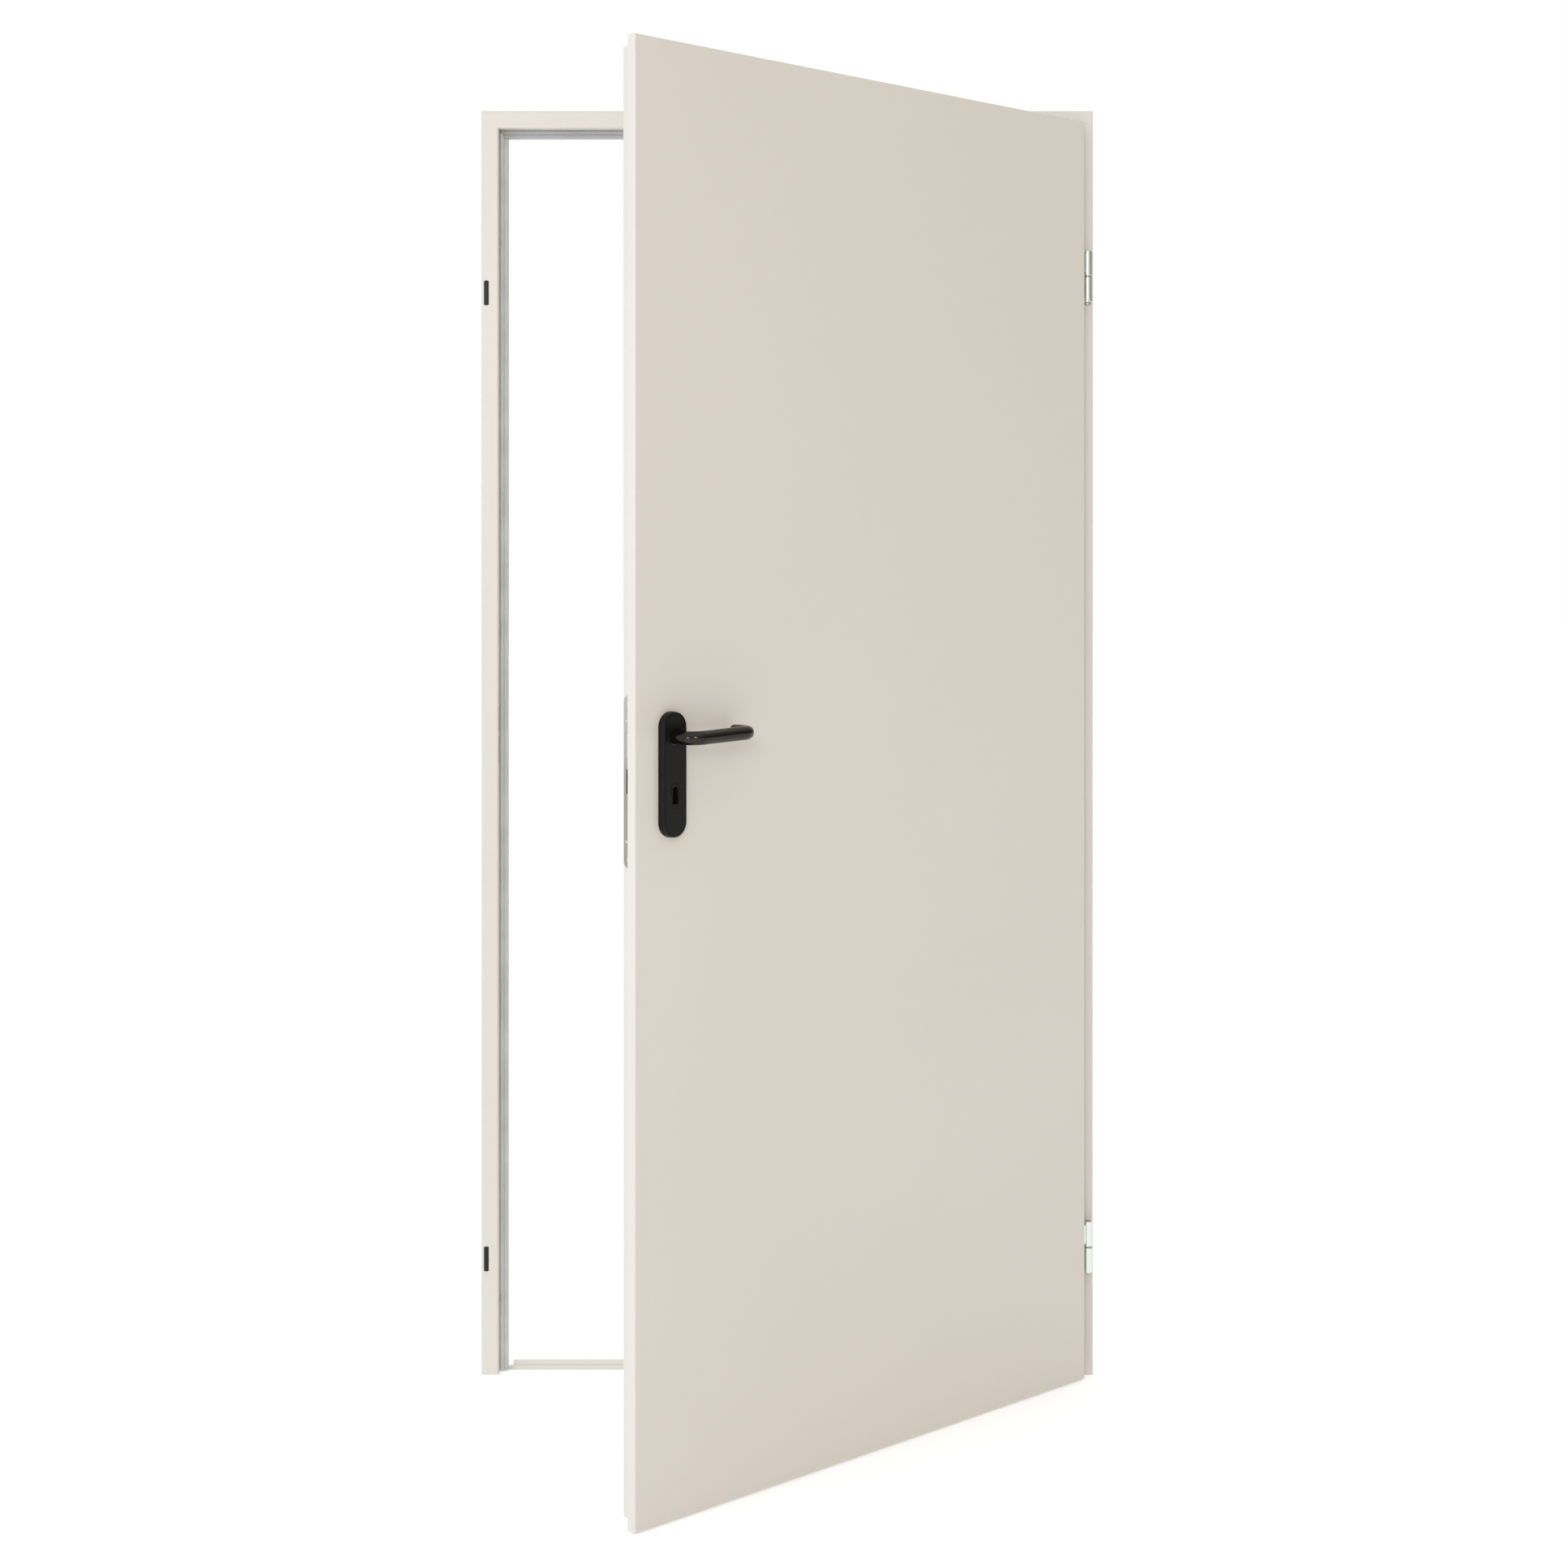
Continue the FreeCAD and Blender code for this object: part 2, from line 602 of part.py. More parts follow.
def bolt_block(centre, height, end, grow):
    """Latch or deadbolt as a block from the faceplate's outside into the case."""
    half = BOLT_THICKNESS / 2 + grow
    return box(
        (-BODY_SIDE - end - grow, BODY_MIDDLE - half, centre - height / 2 - grow),
        (-BODY_SIDE + BOLT_LENGTH + grow, BODY_MIDDLE + half, centre + height / 2 + grow),
    )


def bolt_openings():
    latch = bolt_block(LATCH_CENTRE, LATCH_HEIGHT, SIDE_REBATE, BOLT_CLEARANCE)
    return latch.fuse(bolt_block(BOLT_CENTRE, BOLT_HEIGHT, SIDE_REBATE, BOLT_CLEARANCE))


def lock_forend():
    plate = forend_tool(0, FOREND_PROUD - FOREND_THICKNESS, FOREND_PROUD)
    return plate.cut(bolt_openings())


def lock_case():
    return case_block().cut(bolt_openings()).cut(lock_holes())


def latch_bolt():
    """Latch with its slanted nose, held back by the lever so that it just shows."""
    bolt = bolt_block(LATCH_CENTRE, LATCH_HEIGHT, LATCH_PROUD, 0)
    nose = -BODY_SIDE - LATCH_PROUD
    half = BOLT_THICKNESS / 2
    low = LATCH_CENTRE - LATCH_HEIGHT / 2 - 1
    wedge = prism(
        [(nose - 1, BODY_MIDDLE + half + 1, low), (nose - 1, BODY_MIDDLE, low),
         (nose + LATCH_PROUD, BODY_MIDDLE + half + 1, low)],
        0, (0, 0, LATCH_HEIGHT + 2),
    )
    return bolt.cut(wedge)


def deadbolt():
    return bolt_block(BOLT_CENTRE, BOLT_HEIGHT, -BOLT_SUNK, 0)


def leaf_core():
    """Insulation that fills the leaf between its sheets, cut out for the lock and hinges."""
    core = flange_block(LEAF_SHEET).cut(body_block(LEAF_SHEET, FLANGE_BACK - 2 * LEAF_SHEET, 0))
    core = core.fuse(body_block(LEAF_SHEET, FLANGE_BACK - 2 * LEAF_SHEET, LEAF_BACK - LEAF_SHEET))
    for foot in SLOT_FEET.values():
        core = core.cut(leaf_wing_box(foot))
    core = core.cut(case_block()).cut(forend_tool(FOREND_CLEARANCE, -FOREND_THICKNESS, 5))
    return core.cut(lock_holes()).removeSplitter()


# Handle set, drawn at the origin with +Y away from the person who holds it
def handle_plate():
    """Short plate with round ends: an edge that leans in, then a bevel up to the flat face."""
    bottom = PLATE_ABOVE_LEVER - PLATE_HEIGHT
    outlines = []
    for inset, rise in ((0, 0), (PLATE_LEAN, PLATE_EDGE), (PLATE_LEAN + PLATE_BEVEL, PLATE_THICKNESS)):
        outline = stadium(PLATE_WIDTH - 2 * inset, PLATE_HEIGHT - 2 * inset, bottom + inset)
        outline.translate(Vector(0, -rise, 0))
        outlines.append(outline)
    low = Part.makeLoft(outlines[:2], True, True)
    bevel = Part.makeLoft(outlines[1:], True, True)
    plate = low.fuse(bevel)
    bore = LEVER_COLLAR_RADIUS + LEVER_RUNNING_GAP
    plate = plate.cut(Part.makeCylinder(bore, PLATE_THICKNESS + 2, Vector(0, 1, 0), Vector(0, -1, 0)))
    return plate


def lever():
    """Round bar bent twice: out of the collar, along the leaf and back towards it."""
    start = -(PLATE_THICKNESS - LEVER_COLLAR_SEAT)
    collar_end = -(PLATE_THICKNESS - LEVER_COLLAR_SUNK)
    r = LEVER_BEND
    reach = -LEVER_REACH
    tip = LEVER_LENGTH
    finish = -LEVER_RETURN_GAP
    diagonal = r * (1 - math.sqrt(0.5))
    points = [
        Vector(0, collar_end, 0), Vector(0, reach + r, 0), Vector(diagonal, reach + diagonal, 0),
        Vector(r, reach, 0), Vector(tip - r, reach, 0), Vector(tip - diagonal, reach + diagonal, 0),
        Vector(tip, reach + r, 0), Vector(tip, finish, 0),
    ]
    path = Part.Wire([
        Part.LineSegment(points[0], points[1]).toShape(),
        Part.Arc(points[1], points[2], points[3]).toShape(),
        Part.LineSegment(points[3], points[4]).toShape(),
        Part.Arc(points[4], points[5], points[6]).toShape(),
        Part.LineSegment(points[6], points[7]).toShape(),
    ])
    ring = Part.Wire([Part.makeCircle(LEVER_RADIUS, points[0], Vector(0, -1, 0))])
    bar = path.makePipeShell([ring], True, False)
    end = [
        e for e in bar.Edges
        if isinstance(e.Curve, Part.Circle) and abs(e.CenterOfMass.y - finish) < 0.01
    ]
    bar = bar.makeFillet(LEVER_END_EDGE, end)
    bar.rotate(Vector(0, 0, 0), Vector(0, 1, 0), -LEVER_RISE_ANGLE)
    length = start - collar_end
    collar = Part.makeCylinder(LEVER_COLLAR_RADIUS, length, Vector(0, start, 0), Vector(0, -1, 0))
    mouth = [e for e in collar.Edges if isinstance(e.Curve, Part.Circle) and e.CenterOfMass.y < start - 1]
    collar = collar.makeFillet(LEVER_COLLAR_EDGE, mouth)
    half = SPINDLE_SIDE / 2
    socket = box((-half, start - SPINDLE_END, -half), (half, start + 1, half))
    return collar.fuse(bar).cut(socket)


def on_front(shape):
    placed = shape.copy()
    placed.translate(Vector(LEVER_X, LEAF_FACE, LEVER_HEIGHT))
    return placed


def on_back(shape):
    placed = shape.mirror(Vector(0, 0, 0), Vector(0, 1, 0))
    placed.translate(Vector(LEVER_X, LEAF_BACK, LEVER_HEIGHT))
    return placed


def spindle():
    half = SPINDLE_SIDE / 2
    reach = PLATE_THICKNESS - LEVER_COLLAR_SEAT + SPINDLE_END
    return box(
        (LEVER_X - half, LEAF_FACE - reach, LEVER_HEIGHT - half),
        (LEVER_X + half, LEAF_BACK + reach, LEVER_HEIGHT + half),
    )


def key_insert():
    """Insert in the cylinder hole, with the keyhole right through it."""
    front = LEAF_FACE - PLATE_THICKNESS - INSERT_PROUD
    back = LEAF_BACK + PLATE_THICKNESS + INSERT_PROUD
    solid = cylinder_prism(front, back)
    long = back - front + 2
    bulb = Part.makeCylinder(KEYHOLE_RADIUS, long, Vector(LEVER_X, front - 1, KEY_HEIGHT), Vector(0, 1, 0))
    half = KEYHOLE_SLOT / 2
    foot = KEY_HEIGHT + KEYHOLE_RADIUS - KEYHOLE_HEIGHT
    slot = box((LEVER_X - half, front - 1, foot), (LEVER_X + half, back + 1, KEY_HEIGHT))
    return solid.cut(bulb.fuse(slot))


# The whole door
def frame_pieces():
    lock_jamb, hinge_jamb = jambs()
    lock_gasket, hinge_gasket, top_gasket = gaskets()
    pieces = {
        "lock_jamb": lock_jamb,
        "hinge_jamb": hinge_jamb,
        "frame_head": frame_head(),
        "threshold": threshold(),
        "lock_jamb_gasket": lock_gasket,
        "hinge_jamb_gasket": hinge_gasket,
        "head_gasket": top_gasket,
        "strike_box": strike_box(),
    }
    for name, foot in SLOT_FEET.items():
        pieces[f"{name}_slot_plug"] = slot_plug(foot)
        pieces[f"{name}_plug_pocket"] = hinge_pocket(foot)
        pieces[f"{name}_hinge_pocket"] = mirrored(hinge_pocket(foot))
        pieces[f"{name}_frame_knuckle"] = frame_knuckle(foot)
        pieces[f"{name}_hinge_pin"] = hinge_pin(foot)
        pieces[f"{name}_hinge_washer"] = hinge_washer(foot)
    return pieces


def leaf_pieces():
    reach = 2 * PLATE_THICKNESS
    cylinder_hole = cylinder_prism(LEAF_FACE - reach, LEAF_BACK + reach, CYLINDER_CLEARANCE)
    pieces = {
        "leaf_front_skin": leaf_front_skin(),
        "leaf_back_skin": leaf_back_skin(),
        "leaf_core": leaf_core(),
        "lock_forend": lock_forend(),
        "lock_case": lock_case(),
        "latch_bolt": latch_bolt(),
        "deadbolt": deadbolt(),
        "front_handle_plate": on_front(handle_plate()).cut(cylinder_hole),
        "back_handle_plate": on_back(handle_plate()).cut(cylinder_hole),
        "key_insert": key_insert(),
        "front_lever": on_front(lever()),
        "back_lever": on_back(lever()),
        "lever_spindle": spindle(),
    }
    for name, foot in SLOT_FEET.items():
        pieces[f"{name}_leaf_knuckle"] = leaf_knuckle(foot)
    return pieces


def main():
    os.makedirs("parts", exist_ok=True)
    origin = Vector(-HALF_WIDTH, -WALL_LIP / 2, 0)
    placed = frame_pieces()
    for name, shape in leaf_pieces().items():
        shape.rotate(Vector(PIN_X, PIN_Y, 0), Vector(0, 0, 1), OPEN_ANGLE)
        placed[name] = shape
    for name, shape in placed.items():
        shape.translate(origin)
        shape.exportStep(f"parts/{name}.step")
        solids = shape.Solids
        print(f"{name}: {len(solids)} solid, {shape.Volume / 1000:.1f} cm3, valid {shape.isValid()}")


main()
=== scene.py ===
# %% [markdown]
# # An insulated steel door, standing open in its frame
#
# This notebook dresses a door whose parts are already modelled and placed. It loads them,
# gives each surface its finish, adds the small things that a maker fits last, and sets up
# a plain studio. Nothing that was loaded is moved.

# %% Load the door
import json
import math

import bpy
from mathutils import Matrix, Vector

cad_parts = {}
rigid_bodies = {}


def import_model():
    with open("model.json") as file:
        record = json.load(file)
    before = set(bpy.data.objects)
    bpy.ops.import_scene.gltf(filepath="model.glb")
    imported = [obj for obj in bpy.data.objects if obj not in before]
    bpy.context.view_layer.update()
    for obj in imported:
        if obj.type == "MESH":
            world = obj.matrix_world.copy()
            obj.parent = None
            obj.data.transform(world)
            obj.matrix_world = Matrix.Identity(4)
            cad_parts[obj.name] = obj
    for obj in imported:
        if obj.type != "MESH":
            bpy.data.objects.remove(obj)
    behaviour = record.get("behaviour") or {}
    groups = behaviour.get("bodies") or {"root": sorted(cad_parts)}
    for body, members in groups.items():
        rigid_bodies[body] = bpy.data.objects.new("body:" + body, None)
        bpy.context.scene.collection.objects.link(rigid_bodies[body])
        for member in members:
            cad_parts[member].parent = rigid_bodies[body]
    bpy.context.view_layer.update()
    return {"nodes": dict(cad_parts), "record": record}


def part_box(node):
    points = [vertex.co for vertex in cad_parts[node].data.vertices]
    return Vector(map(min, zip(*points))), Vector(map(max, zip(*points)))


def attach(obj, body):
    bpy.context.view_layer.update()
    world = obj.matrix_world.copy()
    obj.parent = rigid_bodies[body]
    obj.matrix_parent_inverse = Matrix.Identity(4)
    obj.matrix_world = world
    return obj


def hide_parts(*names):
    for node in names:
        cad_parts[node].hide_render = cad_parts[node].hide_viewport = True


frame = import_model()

nodes = frame["nodes"]

# %% [markdown]
# ## Where things are
#
# The leaf stands open, so pieces fitted to it need its own directions. They could be
# measured on a mesh, but the record already gives the place and the axis of each joint. The
# levers turn about an axis square to the leaf, so that axis tells how far the leaf has
# turned. Everything fitted to the leaf is then made as if the door were shut, and turned
# about the hinge pin.

# %% Directions of the leaf
MM = 0.001


def joint(name):
    """One joint of the record, by name."""
    return next(j for j in frame["record"]["behaviour"]["joints"] if j["name"] == name)


hinge_at = Vector(joint("leaf_hinge")["pos_m"])
spindle_at = Vector(joint("lever_turn")["pos_m"])
inward = Vector(joint("lever_turn")["axis"])
open_angle = math.atan2(-inward.x, inward.y)
to_hinge = Matrix.Translation(hinge_at)
opened = to_hinge @ Matrix.Rotation(open_angle, 4, "Z") @ to_hinge.inverted()
shut = opened.inverted()
print(f"the leaf stands {math.degrees(open_angle):.1f} degrees open")


def shut_box(name):
    """Lowest and highest corner that a leaf piece would have with the door shut."""
    points = [shut @ v.co for v in nodes[name].data.vertices]
    low = Vector(min(p[i] for p in points) for i in range(3))
    high = Vector(max(p[i] for p in points) for i in range(3))
    return low, high


# %% [markdown]
# ## Writing shader maths as sums
#
# A material is a tree of nodes. Wiring a tree by hand hides the idea behind it, so a small
# class wraps one output socket and lets Python's operators add the Math nodes. Any other
# node comes from one function, which takes its type, its settings and its sockets. A class
# that builds a tree of its own gets the same function as a method.

# %% Sockets that add up
class Wire:
    """An output socket. Arithmetic on it adds Math nodes to its tree."""

    def __init__(self, tree, socket):
        self.tree = tree
        self.socket = socket

    def math(self, operation, *values):
        """Add one Math node that works on these values."""
        node = self.tree.nodes.new("ShaderNodeMath")
        node.operation = operation
        for socket, value in zip(node.inputs, values):
            plug(self.tree, socket, value)
        return Wire(self.tree, node.outputs[0])

    def __add__(self, other):
        return self.math("ADD", self, other)

    def __radd__(self, other):
        return self.math("ADD", other, self)

    def __sub__(self, other):
        return self.math("SUBTRACT", self, other)

    def __rsub__(self, other):
        return self.math("SUBTRACT", other, self)

    def __mul__(self, other):
        return self.math("MULTIPLY", self, other)

    def __rmul__(self, other):
        return self.math("MULTIPLY", other, self)

    def __truediv__(self, other):
        return self.math("DIVIDE", self, other)


def plug(tree, socket, value):
    """Link a wire, or each wire of a list, to a socket, or set the socket's own value."""
    for one in value if isinstance(value, list) else [value]:
        if isinstance(one, Wire):
            tree.links.new(one.socket, socket)
        else:
            socket.default_value = one


def add_node(tree, kind, settings, sockets, output=0):
    """Add any node: settings first, then the value or the wire of each named socket."""
    node = tree.nodes.new(kind)
    for name, value in settings.items():
        setattr(node, name, value)
    for name, value in sockets.items():
        plug(tree, node.inputs[name], value)
    return Wire(tree, node.outputs[output])


class Builder:
    """Something with a node tree of its own, kept in self.tree."""

    def node(self, kind, settings=None, output=0, **sockets):
        """Add any node to the tree. In a socket's name, _ stands for a space."""
        named = {name.replace("_", " "): value for name, value in sockets.items()}
        return add_node(self.tree, kind, settings or {}, named, output)


print("wires can be added, subtracted, multiplied and divided")

# %% [markdown]
# ## A finish is a short recipe
#
# Every material below starts from this class. It holds a Principled shader and offers the
# few patterns that real surfaces share: noise for what is uneven, a ramp to shape it, a mix
# between two colours, and a bump that tilts the light. All patterns read object
# coordinates, in metres, so they stay the same size on a washer and on the whole leaf.
# Pictures wrapped round the door would need an unwrapped mesh, and they blur up close.

# %% The Finish class
def rgb(red, green, blue):
    """A colour picked as it looks on screen, changed to the linear values of a shader."""
    def linear(value):
        value = value / 255
        return value / 12.92 if value <= 0.04045 else ((value + 0.055) / 1.055) ** 2.4
    return (linear(red), linear(green), linear(blue), 1.0)


class Finish(Builder):
    """A material with its Principled shader and the patterns used on this door."""

    def __init__(self, name, color, roughness=0.5, metallic=0.0):
        self.material = bpy.data.materials.new(name)
        self.material.use_nodes = True
        self.tree = self.material.node_tree
        self.shader = self.tree.nodes["Principled BSDF"]
        self.place = self.node("ShaderNodeTexCoord", output="Object")
        self.set("Base Color", color)
        self.set("Roughness", roughness)
        self.set("Metallic", metallic)

    def set(self, socket, value):
        """Give a socket of the shader a value or a wire."""
        plug(self.tree, self.shader.inputs[socket], value)

    def stretched(self, x, y, z):
        """Object coordinates scaled along each axis, for grain that runs one way."""
        return self.node("ShaderNodeMapping", Vector=self.place, Scale=(x, y, z))

    def noise(self, size, detail=2.0, place=None):
        """Soft noise whose lumps are about the given size in metres."""
        return self.node(
            "ShaderNodeTexNoise", Vector=place or self.place, Scale=1 / size, Detail=detail)

    def ramp(self, factor, start, end):
        """Zero below start, one above end, smooth between."""
        return self.node(
            "ShaderNodeMapRange", {"interpolation_type": "SMOOTHSTEP"},
            Value=factor, From_Min=start, From_Max=end)

    def blend(self, factor, first, second):
        """Mix two colours by a factor."""
        node = self.tree.nodes.new("ShaderNodeMix")
        node.data_type = "RGBA"
        color_in = [s for s in node.inputs if s.type == "RGBA"]
        plug(self.tree, node.inputs["Factor"], factor)
        plug(self.tree, color_in[0], first)
        plug(self.tree, color_in[1], second)
        return Wire(self.tree, next(s for s in node.outputs if s.type == "RGBA"))

    def bump(self, height):
        """Tilt the surface as if it rose by a height pattern in metres."""
        normal = self.node("ShaderNodeBump", Height=height, Distance=1.0, Strength=1.0)
        self.set("Normal", normal)


print(f"a middle grey of 128 on screen is {rgb(128, 128, 128)[0]:.3f} to a shader")

# %% [markdown]
# ## Powder coat
#
# The leaf, frame and threshold come from the works in a grey-white powder coat. Up close it
# is never flat: the melted powder leaves a fine orange peel about 1.5 mm across, the sheet
# under it is very slightly wavy, and its gloss drifts a little from place to place.
#
# The peel could be real relief, but a leaf of two square metres would need millions of
# faces for it. A picture of paint would blur up close. A bump that is worked out for each
# ray costs nothing and stays sharp, so the paint is a bump. Its height is in metres, so it
# can be compared with the real thing: 0.03 mm for the peel, 0.2 mm for the sheet's waves.

# %% Grey-white powder coat
PAINT = rgb(215, 209, 198)
PAINT_DEEP = rgb(214, 208, 197)
DRIFT_SIZE, WAVE_SIZE = 0.35, 0.28  # metres
PEEL_SIZE, PEEL_DEPTH = 1.6 * MM, 0.03 * MM
SPECK_SIZE, SPECK_DEPTH = 0.9 * MM, 0.01 * MM


def powder_coat(name, wave_depth):
    """Satin powder coat with orange peel, over a sheet that is slightly wavy."""
    finish = Finish(name, PAINT)
    drift = finish.noise(DRIFT_SIZE, 3.0)
    speck = finish.noise(SPECK_SIZE, 1.0)
    finish.set("Base Color", finish.blend(finish.ramp(drift, 0.35, 0.7), PAINT, PAINT_DEEP))
    finish.set("Roughness", 0.34 + drift * 0.12 + speck * 0.06)
    peel = finish.noise(PEEL_SIZE) * PEEL_DEPTH
    wave = finish.noise(WAVE_SIZE, 1.0) * wave_depth
    finish.bump(peel + wave + speck * SPECK_DEPTH)
    finish.set("IOR", 1.5)
    return finish.material


frame_paint = powder_coat("frame powder coat", 0.0)
leaf_paint = powder_coat("leaf powder coat", 0.2 * MM)
print("made:", frame_paint.name, "and", leaf_paint.name)

# %% [markdown]
# ## Gasket rubber
#
# A light grey gasket runs round the stop. It is pressed through a die, which leaves faint
# lines along its length, and dust settles on it in patches. The lines could be grooves in
# the mesh, but they are shallower than a tenth of a millimetre and run for five metres.
# Noise stretched fifty times along the upright strips gives the same look from one sum.
#
# The strip across the head faces the bright floor, yet the photograph shows it no lighter
# than the strips on the jambs. So the same rubber is painted a darker grey there: painted shade.

# %% Rubber of the gasket
LINE_SIZE, LINE_DEPTH = 0.6 * MM, 0.02 * MM
LINE_STRETCH = 50  # times, along the strip
DUST_SIZE = 50.0 * MM


def gasket_rubber(name, clean, dusty):
    """Extruded rubber with faint lines along the upright strips and patches of dust."""
    finish = Finish(name, clean)
    lines = finish.noise(LINE_SIZE, 1.0, finish.stretched(1.0, 1.0, 1 / LINE_STRETCH))
    patch = finish.noise(DUST_SIZE)
    finish.set("Base Color", finish.blend(finish.ramp(patch, 0.3, 0.7), clean, dusty))
    finish.set("Roughness", 0.5 + patch * 0.15)
    finish.bump(lines * LINE_DEPTH)
    return finish.material


seal_rubber = gasket_rubber("jamb gasket rubber", rgb(197, 200, 200), rgb(187, 190, 190))
# The head strip's colours are painted shade: the same rubber made darker than on the jambs.
head_rubber_painted_shade = gasket_rubber("head gasket rubber, painted shade", rgb(172, 173, 172), rgb(163, 164, 163))
print("made:", seal_rubber.name, "and", head_rubber_painted_shade.name)

# %% [markdown]
# ## Black plastic
#
# The levers, their plates, the key insert, the plugs and the guard behind the strike are
# moulded plastic. They differ in how fine the mould was, not in kind: the lever was
# polished, the plate has a fine grain, the guard a coarse one. So one function makes all
# of them. On black plastic nearly all the light that is seen is thrown back by the skin.
# Its strength and its slightly warm tint were matched to the bright lines on the lever in
# the photograph, and the colour under it only to the darkest band. The warm tint is a
# painted reflection of the warm leaf: the skin itself throws light back untinted.

# %% Moulded black plastic
GRAIN_SIZE, RUB_SIZE = 0.5 * MM, 30.0 * MM
PLAIN_SHEEN = (1.0, 1.0, 1.0, 1.0)
# A warm tint on the lever's reflections: painted reflection of the warm leaf.
WARM_PAINTED_REFLECTION = (1.0, 0.92, 0.78, 1.0)


def moulded_plastic(name, color, grain_depth, roughness, gloss, sheen=PLAIN_SHEEN):
    """Plastic with the grain of its mould. Gloss is how much light its skin throws back,
    and sheen is the tint of that light; a warm sheen is a painted reflection."""
    finish = Finish(name, color)
    grain = finish.noise(GRAIN_SIZE)
    rub = finish.noise(RUB_SIZE)
    finish.set("Roughness", roughness + grain * 0.1 + rub * 0.08)
    finish.bump(grain * grain_depth)
    finish.set("Specular IOR Level", gloss)
    finish.set("Specular Tint", sheen)
    return finish.material


lever_plastic = moulded_plastic(
    "polished black plastic", rgb(11, 10, 8), grain_depth=0.0005 * MM, roughness=0.03,
    gloss=0.42, sheen=WARM_PAINTED_REFLECTION)
handle_plastic = moulded_plastic(
    "black plate plastic", rgb(14, 15, 12), grain_depth=0.01 * MM, roughness=0.3, gloss=0.2)
insert_plastic = moulded_plastic(
    "black insert plastic", rgb(16, 17, 14), grain_depth=0.008 * MM, roughness=0.38, gloss=0.2)
plug_plastic = moulded_plastic(
    "dark plug plastic", rgb(45, 37, 31), grain_depth=0.01 * MM, roughness=0.32, gloss=0.22)
guard_plastic = moulded_plastic(
    "mortar guard plastic", rgb(44, 44, 44), grain_depth=0.04 * MM, roughness=0.55, gloss=0.5)
plastics = (lever_plastic, handle_plastic, insert_plastic, plug_plastic, guard_plastic)
print("made:", ", ".join(m.name for m in plastics))

# %% [markdown]
# ## Bright zinc, dull zinc and plain steel
#
# The hinge knuckles were turned and zinc-plated, so fine rings run round them and the
# coat has a little haze. The latch and the spindle are plain steel, the screws are rougher,
# the washers duller, and the hinge pins darker. The bolt is painted near black: painted
# shade of the recess it sits in. The lock's faceplate stands upright in the door's edge and
# is painted in three tones by height, darkest at its foot: painted reflection of the room.
# The pockets were cut from galvanised sheet, whose coat shows its crystals, or spangle.
#
# Rings could come from a wave texture, but waves are too even to be tool marks. Noise
# stretched twenty times across the axis gives rings of uneven strength. For the spangle,
# Voronoi cells are the natural choice, because each crystal grew until it met the next.

# %% Bright zinc, plain steel and galvanised sheet
RING_SIZE, RING_STRETCH = 0.4 * MM, 20  # times, across the axis
HAZE_SIZE = 6.0 * MM


def turned_metal(name, color, roughness, ring_depth=0.003 * MM):
    """Plated metal with fine turning rings round the upright axis."""
    finish = Finish(name, color, metallic=1.0)
    along = finish.stretched(1 / RING_STRETCH, 1 / RING_STRETCH, 1.0)
    rings = finish.noise(RING_SIZE, 1.0, along)
    haze = finish.noise(HAZE_SIZE, 3.0)
    finish.set("Roughness", roughness + haze * 0.12 + rings * 0.05)
    finish.bump(rings * ring_depth)
    return finish.material


# Faceplate tones by height are painted reflection: lighter at the top, darker at the foot.
FOOT_PAINTED_REFLECTION = rgb(163, 162, 147)
MIDDLE_PAINTED_REFLECTION = rgb(188, 183, 171)
TOP_PAINTED_REFLECTION = rgb(190, 192, 184)
FOOT_TO_MIDDLE = (1.01, 1.07)  # metres above the floor
MIDDLE_TO_TOP = (1.08, 1.11)


def faceplate_zinc_painted_reflection():
    """Zinc plate on the lock's edge, in three tones by height: painted reflection, darkest at its
    foot.
    """
    finish = Finish("lock zinc, painted reflection", MIDDLE_PAINTED_REFLECTION, metallic=1.0)
    height = finish.node("ShaderNodeSeparateXYZ", output="Z", Vector=finish.place)
    haze = finish.noise(8.0 * MM, 3.0)
    lower = finish.ramp(height + haze * 0.01, *FOOT_TO_MIDDLE)
    upper = finish.ramp(height + haze * 0.02, *MIDDLE_TO_TOP)
    color = finish.blend(lower, FOOT_PAINTED_REFLECTION, MIDDLE_PAINTED_REFLECTION)
    finish.set("Base Color", finish.blend(upper, color, TOP_PAINTED_REFLECTION))
    finish.set("Roughness", 0.26 + haze * 0.12)
    return finish.material


CRYSTALS_PER_METRE = 180.0
DARKEST_CRYSTAL = 0.8


def galvanised(name, color):
    """Zinc coat with spangle: flat crystals that each reflect a little differently."""
    finish = Finish(name, color, metallic=1.0)
    crystal = finish.node(
        "ShaderNodeTexVoronoi", output="Color", Vector=finish.place, Scale=CRYSTALS_PER_METRE)
    tone = finish.node("ShaderNodeSeparateColor", Color=crystal)
    dark = tuple(DARKEST_CRYSTAL * c for c in color[:3]) + (1.0,)
    finish.set("Base Color", finish.blend(tone, color, dark))
    finish.set("Roughness", 0.38 + tone * 0.2)
    return finish.material


bright_zinc = turned_metal("bright zinc plate", rgb(226, 234, 227), 0.22, 0.001 * MM)
plain_steel = turned_metal("plain steel", rgb(205, 206, 204), 0.14)
hinge_steel = turned_metal("darker hinge steel", rgb(160, 165, 153), 0.3)
